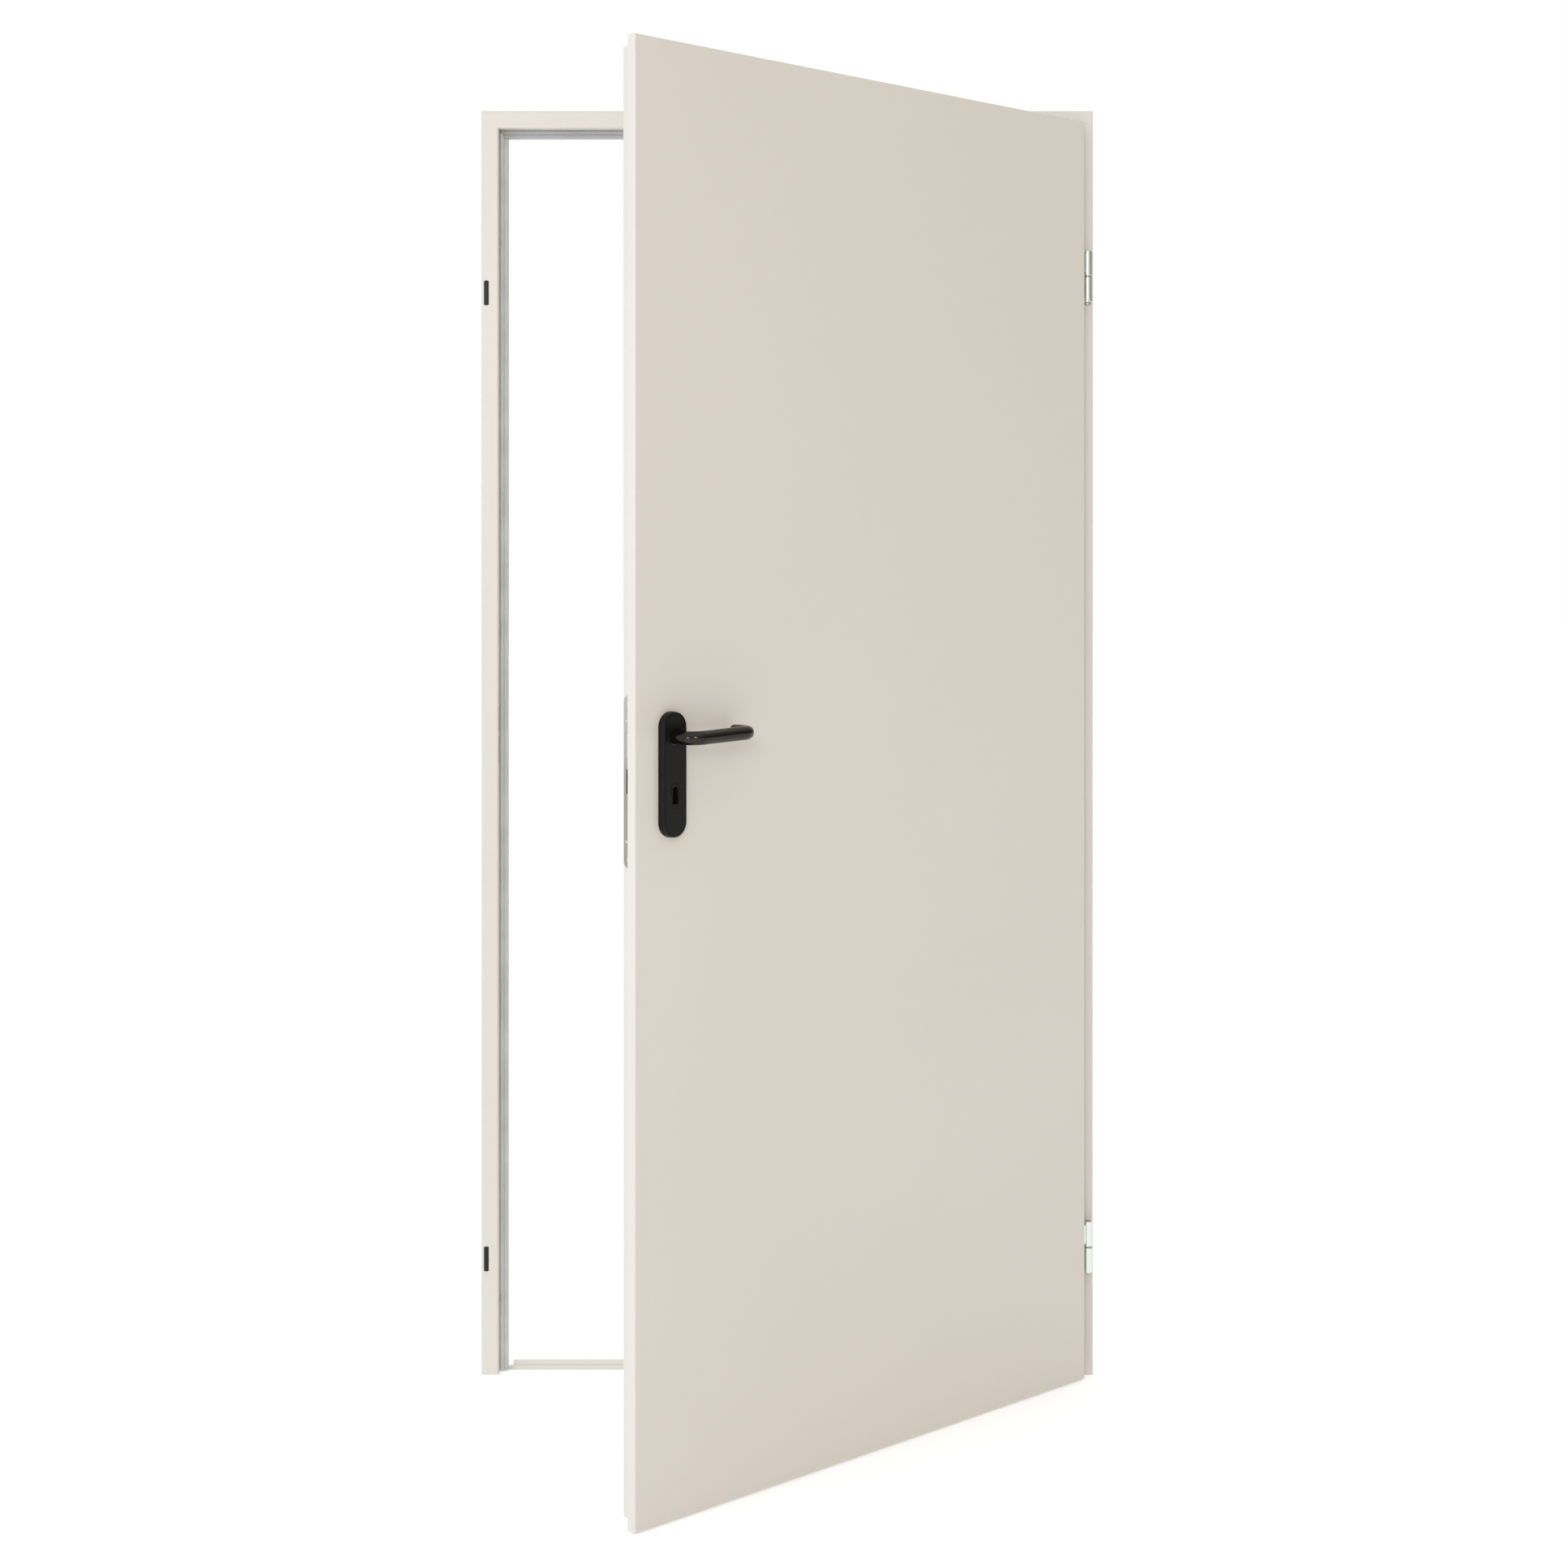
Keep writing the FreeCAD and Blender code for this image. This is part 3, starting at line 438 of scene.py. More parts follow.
# Near black: painted shade for the dark recess round the bolt, not the steel's own colour.
bolt_steel = turned_metal("bolt steel, painted shade", rgb(42, 36, 32), 0.34)
washer_steel = turned_metal("washer steel", rgb(156, 160, 147), 0.3)
screw_steel = turned_metal("screw steel", rgb(204, 206, 200), 0.24, 0.002 * MM)
lock_zinc = faceplate_zinc_painted_reflection()
pocket_zinc = galvanised("galvanised pocket", rgb(186, 190, 192))
metals = (
    bright_zinc, plain_steel, hinge_steel, bolt_steel, washer_steel, screw_steel, lock_zinc,
    pocket_zinc)
print("made:", ", ".join(m.name for m in metals))

# %% [markdown]
# ## Mineral wool
#
# The leaf is filled with a board of pressed mineral wool. Nobody sees it in the finished
# door, but a library part may be cut open or shown with its skins apart. A fur of fibres
# would be heavy for a hidden piece, so the fibres are stretched noise in colour and bump.

# %% Mineral wool
WOOL, WOOL_DARK = rgb(206, 190, 138), rgb(160, 140, 84)
FIBRE_SIZE, FIBRE_DEPTH, FIBRE_STRETCH = 0.8 * MM, 0.4 * MM, 5


def mineral_wool():
    """Pressed wool whose fibres run upwards."""
    finish = Finish("mineral wool", WOOL, roughness=0.95)
    fibre = finish.noise(FIBRE_SIZE, 3.0, finish.stretched(1.0, 1.0, 1 / FIBRE_STRETCH))
    finish.set("Base Color", finish.blend(fibre, WOOL, WOOL_DARK))
    finish.bump(fibre * FIBRE_DEPTH)
    return finish.material


wool = mineral_wool()
print("made:", wool.name)

# %% [markdown]
# ## Give every loaded piece its finish
#
# A finish could be set piece by piece, but the record says which finish slot each piece
# takes. So one table from slot to material covers them all, and a new piece can't be
# forgotten. Four pieces differ from the others in their slot: the two levers are polished,
# the bolt is painted near black as painted shade, and the head's gasket is painted darker than the
# jambs' as painted shade.

# %% Finishes by slot
FINISHES = {
    "frame_paint": frame_paint,
    "threshold_paint": frame_paint,
    "leaf_paint": leaf_paint,
    "gasket_rubber": seal_rubber,
    "mortar_guard_plastic": guard_plastic,
    "plug_plastic": plug_plastic,
    "pocket_steel": pocket_zinc,
    "hinge_zinc": bright_zinc,
    "pin_steel": hinge_steel,
    "washer_steel": washer_steel,
    "insulation": wool,
    "lock_zinc": lock_zinc,
    "bolt_steel": plain_steel,
    "handle_plastic": handle_plastic,
    "key_insert_plastic": insert_plastic,
    "spindle_steel": plain_steel,
}

for part in frame["record"]["subparts"]:
    material = FINISHES[part["material_slot"]]
    mesh = nodes[part["node"]].data
    mesh.materials.clear()
    mesh.materials.append(material)
for name in ("front_lever", "back_lever"):
    nodes[name].data.materials[0] = lever_plastic
# The bolt takes the near-black steel, which is painted shade.
nodes["deadbolt"].data.materials[0] = bolt_steel
# The head's gasket takes the darker rubber, which is painted shade.
nodes["head_gasket"].data.materials[0] = head_rubber_painted_shade

# %% [markdown]
# ## Small pieces that repeat
#
# Screws, stakes and weld beads repeat, so none of them is modelled by hand. Each kind is a
# small Geometry Nodes tree with named inputs for its sizes. It runs on a few marked spots,
# and the result is kept as one plain mesh. The same Wire class writes these trees too,
# because their arithmetic uses the same Math nodes as a shader.
#
# Loops in Python that place vertices would do as well. A tree was chosen because its
# inputs can still be turned by hand when the notebook is open in Blender, and because
# sweeping, cutting and scattering are single nodes there.

# %% A Geometry Nodes tree with named inputs
class Recipe(Builder):
    """A Geometry Nodes tree in the making. Its inputs are named and have first values."""

    SOCKETS = {float: "NodeSocketFloat", int: "NodeSocketInt"}

    def __init__(self, name, **first_values):
        self.tree = bpy.data.node_groups.new(name, "GeometryNodeTree")
        sockets = self.tree.interface
        sockets.new_socket("Geometry", in_out="OUTPUT", socket_type="NodeSocketGeometry")
        sockets.new_socket("Geometry", in_out="INPUT", socket_type="NodeSocketGeometry")
        self.ids = {}
        for label, value in first_values.items():
            kind = self.SOCKETS[type(value)]
            socket = sockets.new_socket(label, in_out="INPUT", socket_type=kind)
            self.ids[label] = socket.identifier
        material = sockets.new_socket("material", in_out="INPUT", socket_type="NodeSocketMaterial")
        self.ids["material"] = material.identifier
        self.first_values = first_values
        self.given = self.tree.nodes.new("NodeGroupInput")

    def input(self, label):
        """The wire of one named input."""
        return Wire(self.tree, self.given.outputs[label])

    def vector(self, x, y, z):
        """A vector of three numbers or wires."""
        return self.node("ShaderNodeCombineXYZ", X=x, Y=y, Z=z)

    def random(self, low, high, seed):
        """A random number for each spot. Sockets 2, 3 and 8 are lowest, highest and seed."""
        sockets = {2: low, 3: high, 8: seed}
        return add_node(
            self.tree, "FunctionNodeRandomValue", {"data_type": "FLOAT"}, sockets, output=1)

    def moved(self, geometry, y=0.0, z=0.0):
        """A geometry shifted along y and z."""
        by = self.vector(0.0, y, z)
        return self.node("GeometryNodeTransform", Geometry=geometry, Translation=by)

    def joined(self, *geometries):
        """Several geometries as one."""
        return self.node("GeometryNodeJoinGeometry", Geometry=list(geometries))

    def close(self, geometry):
        """End the tree: real meshes instead of instances, then the material."""
        real = self.node("GeometryNodeRealizeInstances", Geometry=geometry)
        coated = self.node(
            "GeometryNodeSetMaterial", Geometry=real, Material=self.input("material"))
        out = self.tree.nodes.new("NodeGroupOutput")
        plug(self.tree, out.inputs["Geometry"], coated)
        print(f"recipe {self.tree.name}: {len(self.tree.nodes)} nodes,", len(self.ids), "inputs")
        return self


print("recipes take inputs of type", ", ".join(kind.__name__ for kind in Recipe.SOCKETS))

# %% Running a recipe
SMOOTH_BELOW_DEGREES = 35.0


def facing(at, outward, up=(0.0, 0.0, 1.0)):
    """Matrix of a surface: its origin, the way it faces (local Z) and its up (local Y)."""
    z, y = Vector(outward).normalized(), Vector(up).normalized()
    turn = Matrix((y.cross(z), y, z)).transposed().to_4x4()
    return Matrix.Translation(at) @ turn


def grow(name, recipe, body, slot, material, spots, edges=(), place=Matrix(), **values):
    """Run a recipe on some spots and keep the result as one plain mesh on a body."""
    cloud = bpy.data.meshes.new(name + "_spots")
    cloud.from_pydata(spots, edges, [])
    piece = bpy.data.objects.new(name, cloud)
    bpy.context.scene.collection.objects.link(piece)
    modifier = piece.modifiers.new("recipe", "NODES")
    modifier.node_group = recipe.tree
    for label, value in {**recipe.first_values, **values, "material": material}.items():
        modifier[recipe.ids[label]] = value
    graph = bpy.context.evaluated_depsgraph_get()
    mesh = bpy.data.meshes.new_from_object(piece.evaluated_get(graph))
    piece.modifiers.remove(modifier)
    piece.data = mesh
    bpy.data.meshes.remove(cloud)
    mesh.transform(place)
    mesh.shade_smooth()
    mesh.set_sharp_from_angle(angle=math.radians(SMOOTH_BELOW_DEGREES))
    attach(piece, body)
    print(f"{name}: {len(mesh.polygons)} faces on {body}")
    return piece


print(f"faces that meet at less than {SMOOTH_BELOW_DEGREES:.0f} degrees are shaded smooth")

# %% [markdown]
# ## Handle plates
#
# The black plates catch the eye, and in the photograph thin lines run round them: a light
# one where the edge leans in, and a dark one where the bevel meets the flat face, which
# has a fine groove there. A bevel on the loaded plates would keep the short flats of their
# round ends, and a bump can't change an outline.
#
# A plate follows a rule. It is one section, pushed round a rectangle whose corners are
# rounded until its ends are half circles. So the section is drawn as a short line with
# softened corners and a groove, and Curve to Mesh sweeps it. The face is filled in, and
# the lever's bore and the cylinder's hole are cut by a Boolean, as the mould's cores would.
# The hole is half a millimetre larger than the key insert, so a thin dark line shows round
# the insert. The swept plates stand for the loaded ones, with the same outline.

# %% A line with soft corners
def softened(corners, radius, steps=3):
    """Points of an open line whose inner corners are replaced by short arcs."""
    points = [Vector(corners[0])]
    for before, corner, after in zip(corners, corners[1:], corners[2:]):
        corner = Vector(corner)
        start = corner + (Vector(before) - corner).normalized() * radius
        end = corner + (Vector(after) - corner).normalized() * radius
        for i in range(steps + 1):
            t = i / steps
            points.append(start * (1 - t) ** 2 + corner * 2 * t * (1 - t) + end * t ** 2)
    return points + [Vector(corners[-1])]


elbow = softened([(0.0, 0.0), (1.0, 0.0), (1.0, 1.0)], radius=0.1)
print("a line with one soft corner has", len(elbow), "points")

# %% Plate recipe
CORNER_SHARE = 0.49  # of the width, a hair less than a half circle
CORNER_POINTS = 40
CORE_SIDES = 96
MERGE_WITHIN = 0.08 * MM


def plate_recipe():
    """A plate swept round its outline, with the lever's bore and the cylinder's hole."""
    recipe = Recipe(
        "swept plate", width=0.0434, height=0.172, inset=0.0032, thickness=0.0107,
        lever_up=0.051, bore=0.0118, key_down=0.072, key_radius=0.009, web=0.0122,
        toe_down=0.0189)
    width, height, inset = recipe.input("width"), recipe.input("height"), recipe.input("inset")

    def outline(inward):
        """The rounded rectangle, so far inside the plate's rim."""
        sides = recipe.node(
            "GeometryNodeCurvePrimitiveQuadrilateral", {"mode": "RECTANGLE"},
            Width=width - inward * 2.0, Height=height - inward * 2.0)
        return recipe.node(
            "GeometryNodeFilletCurve", {"mode": "POLY"}, Curve=sides, Count=CORNER_POINTS,
            Radius=width * CORNER_SHARE - inward, Limit_Radius=True)

    rim = outline(0.0)
    section = recipe.node("GeometryNodeMeshToCurve", Mesh=recipe.input("Geometry"))
    wall = recipe.node("GeometryNodeCurveToMesh", Curve=rim, Profile_Curve=section)
    wall = recipe.node("GeometryNodeFlipFaces", Mesh=wall)
    face = recipe.node("GeometryNodeFillCurve", {"mode": "NGONS"}, Curve=outline(inset))
    face = recipe.moved(face, z=recipe.input("thickness"))
    base = recipe.node("GeometryNodeFillCurve", {"mode": "NGONS"}, Curve=rim)
    base = recipe.node("GeometryNodeFlipFaces", Mesh=base)
    shell = recipe.node(
        "GeometryNodeMergeByDistance", Geometry=recipe.joined(wall, face, base),
        Distance=MERGE_WITHIN)
    through = recipe.input("thickness") * 4.0

    def core(radius, y):
        """A rod right through the plate."""
        rod = recipe.node(
            "GeometryNodeMeshCylinder", Vertices=CORE_SIDES, Radius=radius, Depth=through)
        return recipe.moved(rod, y=y)

    lever_up, web = recipe.input("lever_up"), recipe.input("web")
    key_at = lever_up - recipe.input("key_down")
    toe_at = key_at - recipe.input("toe_down")
    slab = recipe.node(
        "GeometryNodeMeshCube", Size=recipe.vector(web, key_at - toe_at, through))
    slab = recipe.moved(slab, y=(key_at + toe_at) / 2.0)
    cores = [
        slab, core(recipe.input("bore"), lever_up), core(recipe.input("key_radius"), key_at),
        core(web / 2.0, toe_at)]
    cut = add_node(
        recipe.tree, "GeometryNodeMeshBoolean", {"operation": "DIFFERENCE", "solver": "EXACT"},
        {"Mesh 1": shell, "Mesh 2": recipe.joined(*cores), "Self Intersection": True})
    return recipe.close(cut)


plates = plate_recipe()

# %% Both handle plates
LEAN = 0.7 * MM
EDGE_RISE = 9.7 * MM
BEVEL = 2.5 * MM
SOFT_EDGE = 0.7 * MM
GROOVE_WIDTH = 0.9 * MM
GROOVE_DEPTH = 0.5 * MM
GROOVE_LEAN = 0.15 * MM
INSET = LEAN + BEVEL + GROOVE_WIDTH

for name, outward in (("front_handle_plate", -1.0), ("back_handle_plate", 1.0)):
    low, high = shut_box(name)
    thickness = high.y - low.y
    section = softened(
        [(0, 0, 0), (-LEAN, -EDGE_RISE, 0), (-LEAN - BEVEL, -thickness, 0)], SOFT_EDGE)
    section += [
        Vector((-LEAN - BEVEL - GROOVE_LEAN, GROOVE_DEPTH - thickness, 0)),
        Vector((GROOVE_LEAN - INSET, GROOVE_DEPTH - thickness, 0)),
        Vector((-INSET, -thickness, 0))]
    seat = Vector(((low.x + high.x) / 2, high.y if outward < 0 else low.y, (low.z + high.z) / 2))
    plate = grow(
        name.replace("_handle_plate", "_swept_plate"), plates, "leaf", "handle_plastic",
        handle_plastic, section, [(i, i + 1) for i in range(len(section) - 1)],
        place=opened @ facing(seat, (0.0, outward, 0.0)), width=high.x - low.x,
        height=high.z - low.z, inset=INSET, thickness=thickness,
        lever_up=spindle_at.z - seat.z)
    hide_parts(name)

# %% [markdown]
# ## Screws
#
# The lock's faceplate is held by a countersunk screw near each end, and the handle set by
# two long screws from the back, so that nobody can undo it from outside. A screw head is a
# very flat cone with a cross cut into it. Each head is turned by its own random angle,
# because nobody stops turning a screw at a tidy one.
#
# A painted cross would do from the camera, but a screw glints at its edges from every side
# of the door, so the head is real: a cone, less two bars.

# %% Screw recipe
HEAD_SIDES = 48
HEAD_FLARE = 1.4  # how far the cone leans in for each step that it rises
CROSS_SPAN = 1.15  # length of the cross in radii of the head


def screw_recipe():
    """A countersunk head with a cross cut into it, on each spot, at a random angle."""
    recipe = Recipe(
        "cross head screw", radius=0.004, rise=0.0003, sunk=0.0002, cross=0.0011,
        depth=0.0009, seed=1)
    radius, rise, sunk = recipe.input("radius"), recipe.input("rise"), recipe.input("sunk")
    head = recipe.node(
        "GeometryNodeMeshCone", {"fill_type": "NGON"}, Vertices=HEAD_SIDES,
        Radius_Bottom=radius, Radius_Top=radius - HEAD_FLARE * rise, Depth=rise + sunk)
    arm, width = radius * CROSS_SPAN, recipe.input("cross")
    depth = recipe.input("depth") * 2.0
    bars = [
        recipe.node("GeometryNodeMeshCube", Size=recipe.vector(x, y, depth))
        for x, y in ((arm, width), (width, arm))
    ]
    cut = recipe.joined(*(recipe.moved(bar, z=rise) for bar in bars))
    body = recipe.moved(head, z=0.0 - sunk)
    cross_head = add_node(
        recipe.tree, "GeometryNodeMeshBoolean", {"operation": "DIFFERENCE", "solver": "EXACT"},
        {"Mesh 1": body, "Mesh 2": cut, "Self Intersection": True})
    placed = recipe.node(
        "GeometryNodeInstanceOnPoints", Points=recipe.input("Geometry"), Instance=cross_head)
    turned = recipe.node(
        "GeometryNodeRotateInstances", Instances=placed,
        Rotation=recipe.vector(0.0, 0.0, recipe.random(0.0, math.pi, recipe.input("seed"))))
    return recipe.close(turned)


screws = screw_recipe()

# %% Screws on the lock edge and the back plate
plate_low, plate_high = shut_box("lock_forend")
forend_middle = (plate_low + plate_high) / 2
forend_middle.x = plate_low.x
forend_half = (plate_high.z - plate_low.z) / 2
END_SCREW = 11.5 * MM
grow(
    "faceplate_screws", screws, "leaf", "bolt_steel", screw_steel,
    [(0.0, forend_half - END_SCREW, 0.0), (0.0, END_SCREW - forend_half, 0.0)],
    place=opened @ facing(forend_middle, (-1.0, 0.0, 0.0)), radius=3.8 * MM, seed=4)

back_low, back_high = shut_box("back_handle_plate")
back_face = Vector(((back_low.x + back_high.x) / 2, back_high.y, 0.0))
PLATE_SCREW_FROM_TOP = 13.5 * MM
PLATE_SCREW_FROM_FOOT = 18.0 * MM
grow(
    "handle_screws", screws, "leaf", "bolt_steel", screw_steel,
    [(0.0, back_high.z - PLATE_SCREW_FROM_TOP, 0.0),
     (0.0, back_low.z + PLATE_SCREW_FROM_FOOT, 0.0)],
    place=opened @ facing(back_face, (0.0, 1.0, 0.0)), radius=3.6 * MM, seed=9)

# %% [markdown]
# ## Stakes
#
# The faceplate isn't screwed to the lock case. Two small steel lugs at the case's top and
# two at its foot go through it and are staked flat, which leaves low domes side by side.
# In the photograph the lower pair is the light spot near the faceplate's foot.
#
# A dome is part of a ball. The simplest solid that gives it is a whole ball pressed flat,
# since its lower half sinks into the faceplate.

# %% Stakes
def stake_recipe():
    """A ball pressed flat, on each spot."""
    recipe = Recipe("staked lug", radius=0.002, rise=0.0003)
    radius, rise = recipe.input("radius"), recipe.input("rise")
    ball = recipe.node("GeometryNodeMeshUVSphere", Segments=24, Rings=12, Radius=radius)
    pressed = recipe.vector(1.0, 1.0, rise / radius)
    flat = recipe.node("GeometryNodeTransform", Geometry=ball, Scale=pressed)
    placed = recipe.node(
        "GeometryNodeInstanceOnPoints", Points=recipe.input("Geometry"), Instance=flat)
    return recipe.close(placed)


case_low, case_high = shut_box("lock_case")
STAKE_SPACING = 5.0 * MM
stake_levels = [case_high.z - forend_middle.z, case_low.z - forend_middle.z]
grow(
    "faceplate_stakes", stake_recipe(), "leaf", "bolt_steel", screw_steel,
    [(side * STAKE_SPACING, level, 0.0) for side in (-1, 1) for level in stake_levels],
    place=opened @ facing(forend_middle, (-1.0, 0.0, 0.0)), radius=2.2 * MM, rise=0.35 * MM)

# %% [markdown]
# ## Weld beads
#
# Seen from the wall, the frame shows how it was made: the pockets and fixing brackets are
# tacked to the folded sheet, and the mitres are welded. The powder coat runs over them.
#
# A bead could be a plain half-round rod, which looks like a wire laid on the steel. The
# real one is a row of overlapping blobs, one for each pulse of the torch. So each seam is
# an edge, cut into even steps, with a ball of slightly random size on each.

# %% Weld beads
def weld_recipe():
    """A row of overlapping blobs along each edge."""
    recipe = Recipe("weld bead", radius=0.0016, step=0.0009, scatter=0.16, seed=3)
    radius, scatter = recipe.input("radius"), recipe.input("scatter")
    seam = recipe.node("GeometryNodeMeshToCurve", Mesh=recipe.input("Geometry"))
    steps = recipe.node(
        "GeometryNodeResampleCurve", {"mode": "LENGTH"}, Curve=seam, Length=recipe.input("step"))
    blob = recipe.node("GeometryNodeMeshUVSphere", Segments=10, Rings=7, Radius=radius)
    size = recipe.random(1.0 - scatter, 1.0 + scatter, recipe.input("seed"))
    placed = recipe.node(
        "GeometryNodeInstanceOnPoints", Points=steps, Instance=blob, Scale=size)
    return recipe.close(placed)


FACE = 28.0 * MM
STOP = 13.5 * MM
STOP_BACK = 27.5 * MM
BEAD = 1.4 * MM
TACK = 9.0 * MM
POCKET_MARGIN = 4.5 * MM
BRACKET_MARGIN = 3.0 * MM
BRACKET_HALF = 30.0 * MM
LOWER_FIXING = 118.0 * MM
UPPER_FIXING_DROP = 210.0 * MM
POCKETS = [f"{level}_{kind}_pocket" for kind in ("plug", "hinge") for level in ("lower", "upper")]

seams = []
for name in POCKETS:
    low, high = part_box(name)
    inner = high.x if name.endswith("plug_pocket") else low.x
    for start in (low.z + POCKET_MARGIN, high.z - POCKET_MARGIN - TACK):
        seams.append(((inner, low.y, start), (inner, low.y, start + TACK)))
stop_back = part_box("lock_jamb")[0].y + STOP_BACK
for name, side in (("lock_jamb", 1), ("hinge_jamb", -1)):
    low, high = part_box(name)
    outer = low.x if side == 1 else high.x
    start = outer + side * (FACE + BRACKET_MARGIN)
    for level in (LOWER_FIXING, high.z - UPPER_FIXING_DROP):
        for edge in (level - BRACKET_HALF, level + BRACKET_HALF):
            seams.append(((start, stop_back, edge), (start + side * TACK, stop_back, edge)))
    mitre = outer + side * FACE
    seams.append((
        (mitre, stop_back, high.z - FACE),
        (mitre + side * STOP, stop_back, high.z - FACE - STOP)))
points = [point for seam in seams for point in seam]
grow(
    "frame_welds", weld_recipe(), "frame", "frame_paint", frame_paint, points,
    [(i, i + 1) for i in range(0, len(points), 2)], radius=BEAD)
print(len(seams), "seams")

# %% [markdown]
# ## Studio: the floor
#
# The photograph is a product picture on pure white, with almost no shadow. A wide floor
# carries the door. It could be lit until it clips, but that would burn out the door as well,
# so the floor gives off a little light of its own: it reads as white up to the horizon, and
# only the door's own contact shadow still shows on it.

# %% Floor
FLOOR_HALF_SIDE = 60.0
FLOOR_GLOW = 0.3


def pale_floor():
    """A wide plane under the door, pale and glowing slightly."""
    finish = Finish("pale floor", rgb(240, 240, 239), roughness=0.9)
    finish.set("Emission Color", (1.0, 1.0, 1.0, 1.0))
    finish.set("Emission Strength", FLOOR_GLOW)
    mesh = bpy.data.meshes.new("floor")
    side = FLOOR_HALF_SIDE
    corners = [(-side, -side), (side, -side), (side, side), (-side, side)]
    mesh.from_pydata([(x, y, 0.0) for x, y in corners], [], [(0, 1, 2, 3)])
    mesh.materials.append(finish.material)
    floor = bpy.data.objects.new("floor", mesh)
    bpy.context.scene.collection.objects.link(floor)


pale_floor()
print(f"floor {2 * FLOOR_HALF_SIDE:.0f} m wide")

# %% [markdown]
# ## Studio: the room's light
#
# The door itself tells where the light comes from. Its lock edge, which faces left, is
# nearly white. The frame, which faces front, is a little darker. The leaf, which faces
# right, is darker still and warmer. So the room is bright all round but dim on the right,
# and cool daylight falls in from the left. The world shader says the same in three sums:
# an even glow, less a lobe on the right, plus a lobe overhead. Each is a colour, so the
# sums are made with Vector Math nodes. Where the camera looks past the door, it sees white,
# and where zinc or polish mirrors the dim side, it is grey, as on the real hinges.

# %% World
EVEN_GLOW = (0.735, 0.708, 0.718)
RIGHT_LOSS = (0.475, 0.56, 0.59)
MIRRORED_LOSS_CHANGE = (0.02, -0.08, -0.06)
OVERHEAD_GLOW = (0.40, 0.50, 0.50)
LOBE_START, LOBE_FULL = 0.2, 0.95


def lobe(tree, along):
    """Smooth lobe around one direction: 0 across it, 1 straight along it."""
    return add_node(
        tree, "ShaderNodeMapRange", {"interpolation_type": "SMOOTHSTEP"},
        {"Value": along, "From Min": LOBE_START, "From Max": LOBE_FULL})


def tint(tree, operation, first, second):
    """Vector Math on two colours."""
    return add_node(tree, "ShaderNodeVectorMath", {"operation": operation}, {0: first, 1: second})


def scaled(tree, color, factor):
    """A colour times a number."""
    return add_node(
        tree, "ShaderNodeVectorMath", {"operation": "SCALE"}, {0: color, "Scale": factor})


def studio_world():
    """The room's light, and plain white where the camera looks past the door."""
    world = bpy.data.worlds.new("white studio")
    world.use_nodes = True
    tree = world.node_tree
    direction = add_node(tree, "ShaderNodeTexCoord", {}, {}, "Generated")
    split = add_node(tree, "ShaderNodeSeparateXYZ", {}, {"Vector": direction}).socket.node
    right, up = Wire(tree, split.outputs["X"]), Wire(tree, split.outputs["Z"])
    mirrored = add_node(tree, "ShaderNodeLightPath", {}, {}, "Is Glossy Ray")
    change = scaled(tree, MIRRORED_LOSS_CHANGE, mirrored)
    loss = scaled(tree, tint(tree, "ADD", RIGHT_LOSS, change), lobe(tree, right))
    gain = scaled(tree, OVERHEAD_GLOW, lobe(tree, up))
    color = tint(tree, "ADD", tint(tree, "SUBTRACT", EVEN_GLOW, loss), gain)
    room = add_node(tree, "ShaderNodeBackground", {}, {"Color": color, "Strength": 1.0})
    white = (1.0, 1.0, 1.0, 1.0)
    backdrop = add_node(tree, "ShaderNodeBackground", {}, {"Color": white, "Strength": 1.0})
    seen = add_node(tree, "ShaderNodeLightPath", {}, {}, "Is Camera Ray")
    both = add_node(tree, "ShaderNodeMixShader", {}, {0: seen, 1: room, 2: backdrop})
    plug(tree, tree.nodes["World Output"].inputs["Surface"], both)
    bpy.context.scene.world = world


studio_world()
bpy.context.scene.view_settings.view_transform = "Standard"
print("world ready, even glow", EVEN_GLOW)

# %% [markdown]
# ## Studio: the lamps
#
# The world alone leaves the frame and the lock edge too dark, because it has no direction.
# Two soft lamps add what is missing: one far to the left, cool like a window, which makes
# the edge of the leaf nearly white, and one above and behind the camera for the frame. A
# sun or a spot would draw a sharp shadow, which the photograph hasn't got, so both are area
# lamps at least a metre wide.

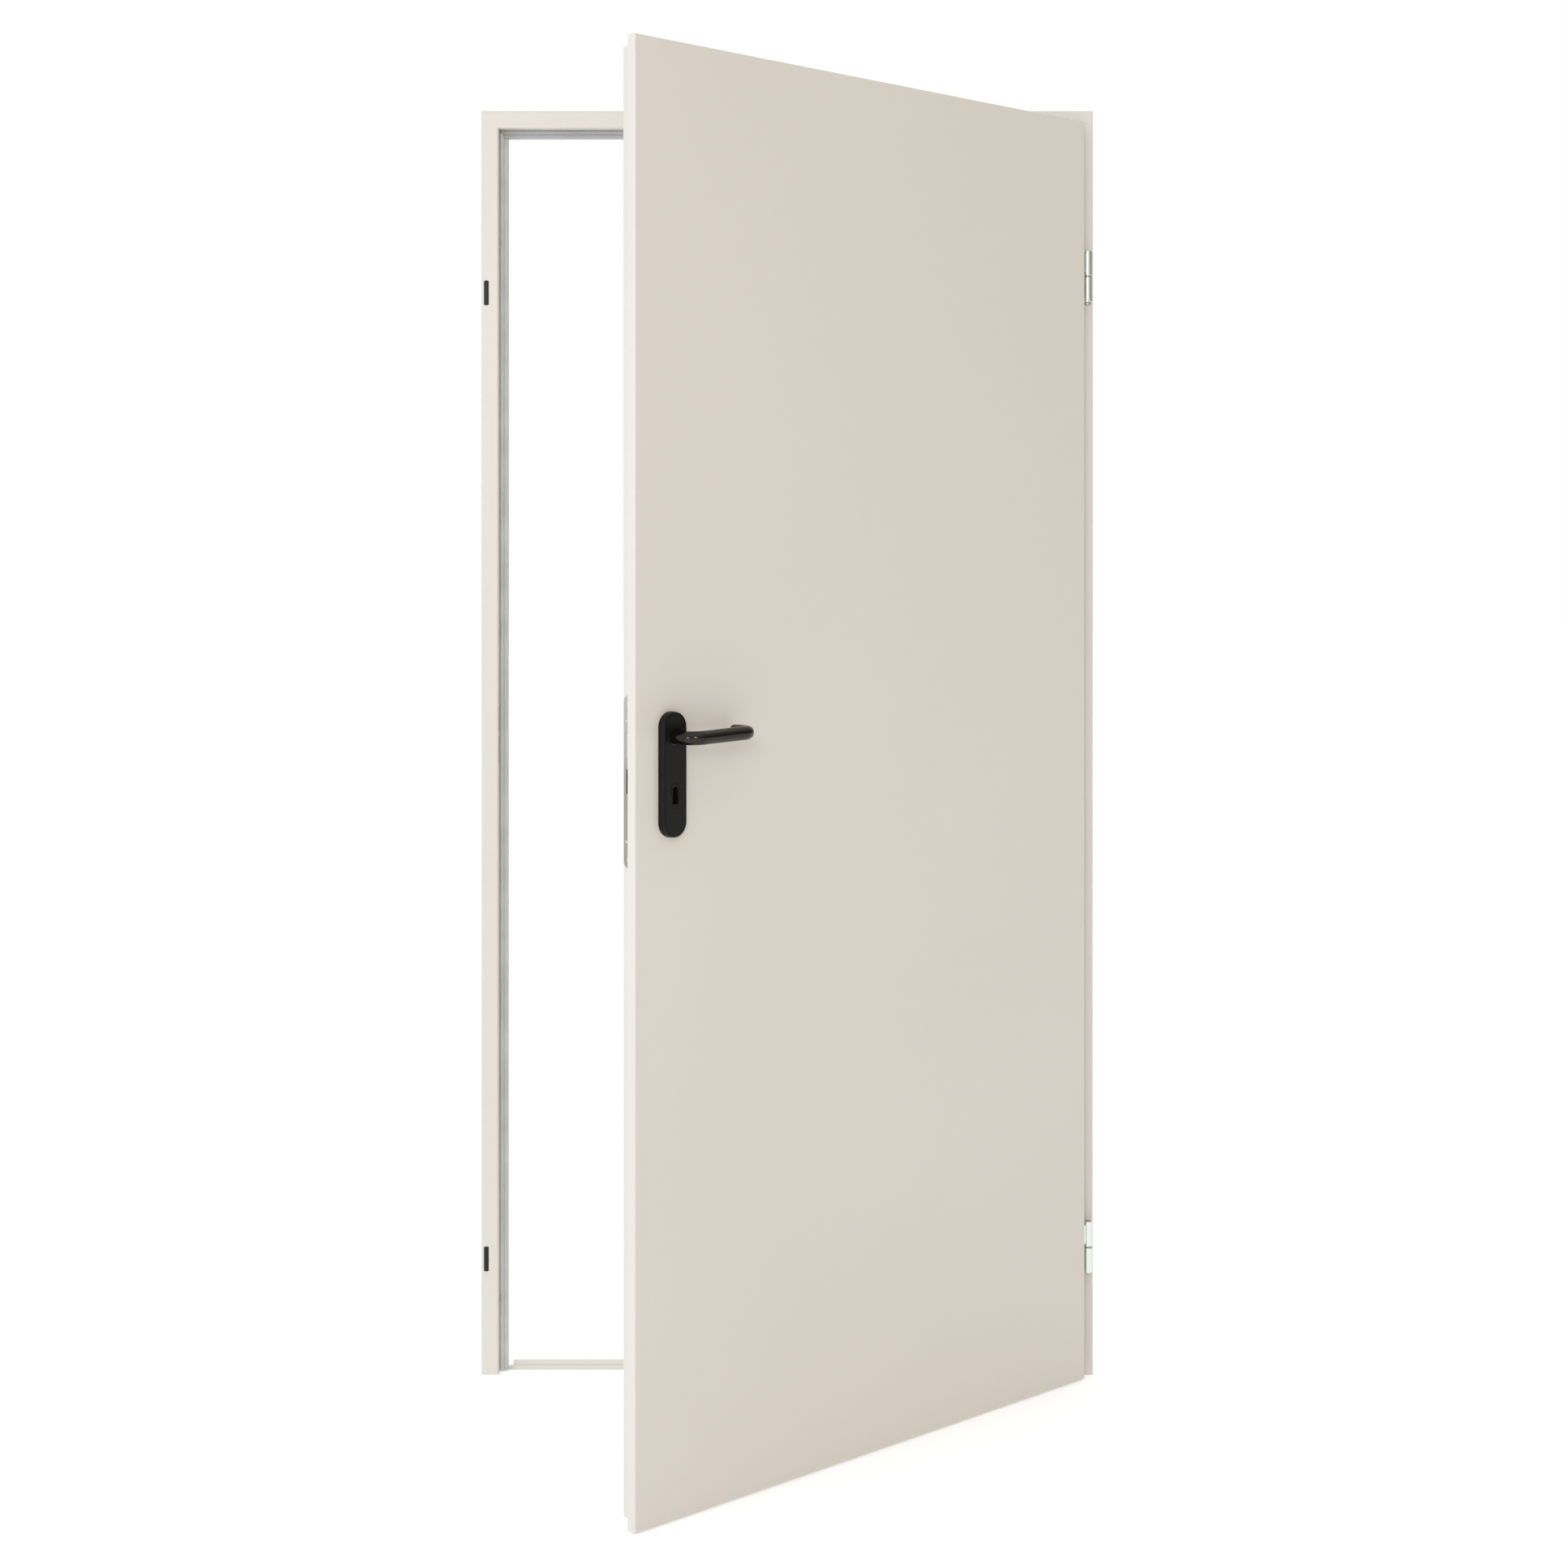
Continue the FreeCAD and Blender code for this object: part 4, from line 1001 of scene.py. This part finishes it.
# %% Lamps
def soft_lamp(name, at, aim, size, power, color):
    """A rectangular lamp at one place, turned towards another."""
    lamp = bpy.data.lights.new(name, "AREA")
    lamp.shape = "RECTANGLE"
    lamp.size, lamp.size_y = size
    lamp.energy = power
    lamp.color = color
    holder = bpy.data.objects.new(name, lamp)
    holder.location = at
    holder.rotation_euler = (Vector(aim) - Vector(at)).to_track_quat("-Z", "Y").to_euler()
    bpy.context.scene.collection.objects.link(holder)


soft_lamp(
    "daylight from the left", at=(-4.4, -3.4, 1.9), aim=(-0.5, 0.0, 1.05), size=(1.3, 1.7),
    power=36.0, color=(0.78, 0.97, 1.38))
soft_lamp(
    "soft front light", at=(-0.9, -4.6, 2.3), aim=(-0.5, -0.2, 1.0), size=(1.0, 1.0),
    power=32.0, color=(1.05, 0.98, 0.97))
print("lamps of", ", ".join(f"{lamp.energy:.0f} W" for lamp in bpy.data.lights))

# %% [markdown]
# ## The camera
#
# Straight edges of a door are good for finding a camera. About 25 edges and corners of the
# frame and the leaf were measured in the photograph, and a least-squares fit gave the focal
# length in pixels, the place of the optical axis, and where the camera stood. The horizon
# lies well above the picture's middle, yet upright edges stay upright in it. So the picture
# was shifted or cropped, not tilted, and the camera here is level with a lens shift.

# %% Camera
PHOTO_SIDE = 1932
FOCAL_PIXELS = 3063.2
OPTICAL_AXIS_COLUMN = 967.4
HORIZON_ROW = 714.8
CAMERA_DISTANCE = 4.0223
CAMERA_HEIGHT = 1.2857
CAMERA_SIDESTEP = -0.00305

jamb_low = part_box("lock_jamb")[0]
frame_middle = (jamb_low.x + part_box("hinge_jamb")[1].x) / 2
camera_data = bpy.data.cameras.new("camera")
camera_data.sensor_width = 36.0
camera_data.lens = FOCAL_PIXELS / PHOTO_SIDE * camera_data.sensor_width
camera_data.shift_x = -(OPTICAL_AXIS_COLUMN - PHOTO_SIDE / 2) / PHOTO_SIDE
camera_data.shift_y = -(PHOTO_SIDE / 2 - HORIZON_ROW) / PHOTO_SIDE
camera = bpy.data.objects.new("camera", camera_data)
camera.location = (frame_middle + CAMERA_SIDESTEP, jamb_low.y - CAMERA_DISTANCE, CAMERA_HEIGHT)
camera.rotation_euler = (math.pi / 2, 0.0, 0.0)
bpy.context.scene.collection.objects.link(camera)
bpy.context.scene.camera = camera
print(f"lens {camera_data.lens:.1f} mm, {CAMERA_DISTANCE:.2f} m from the frame")
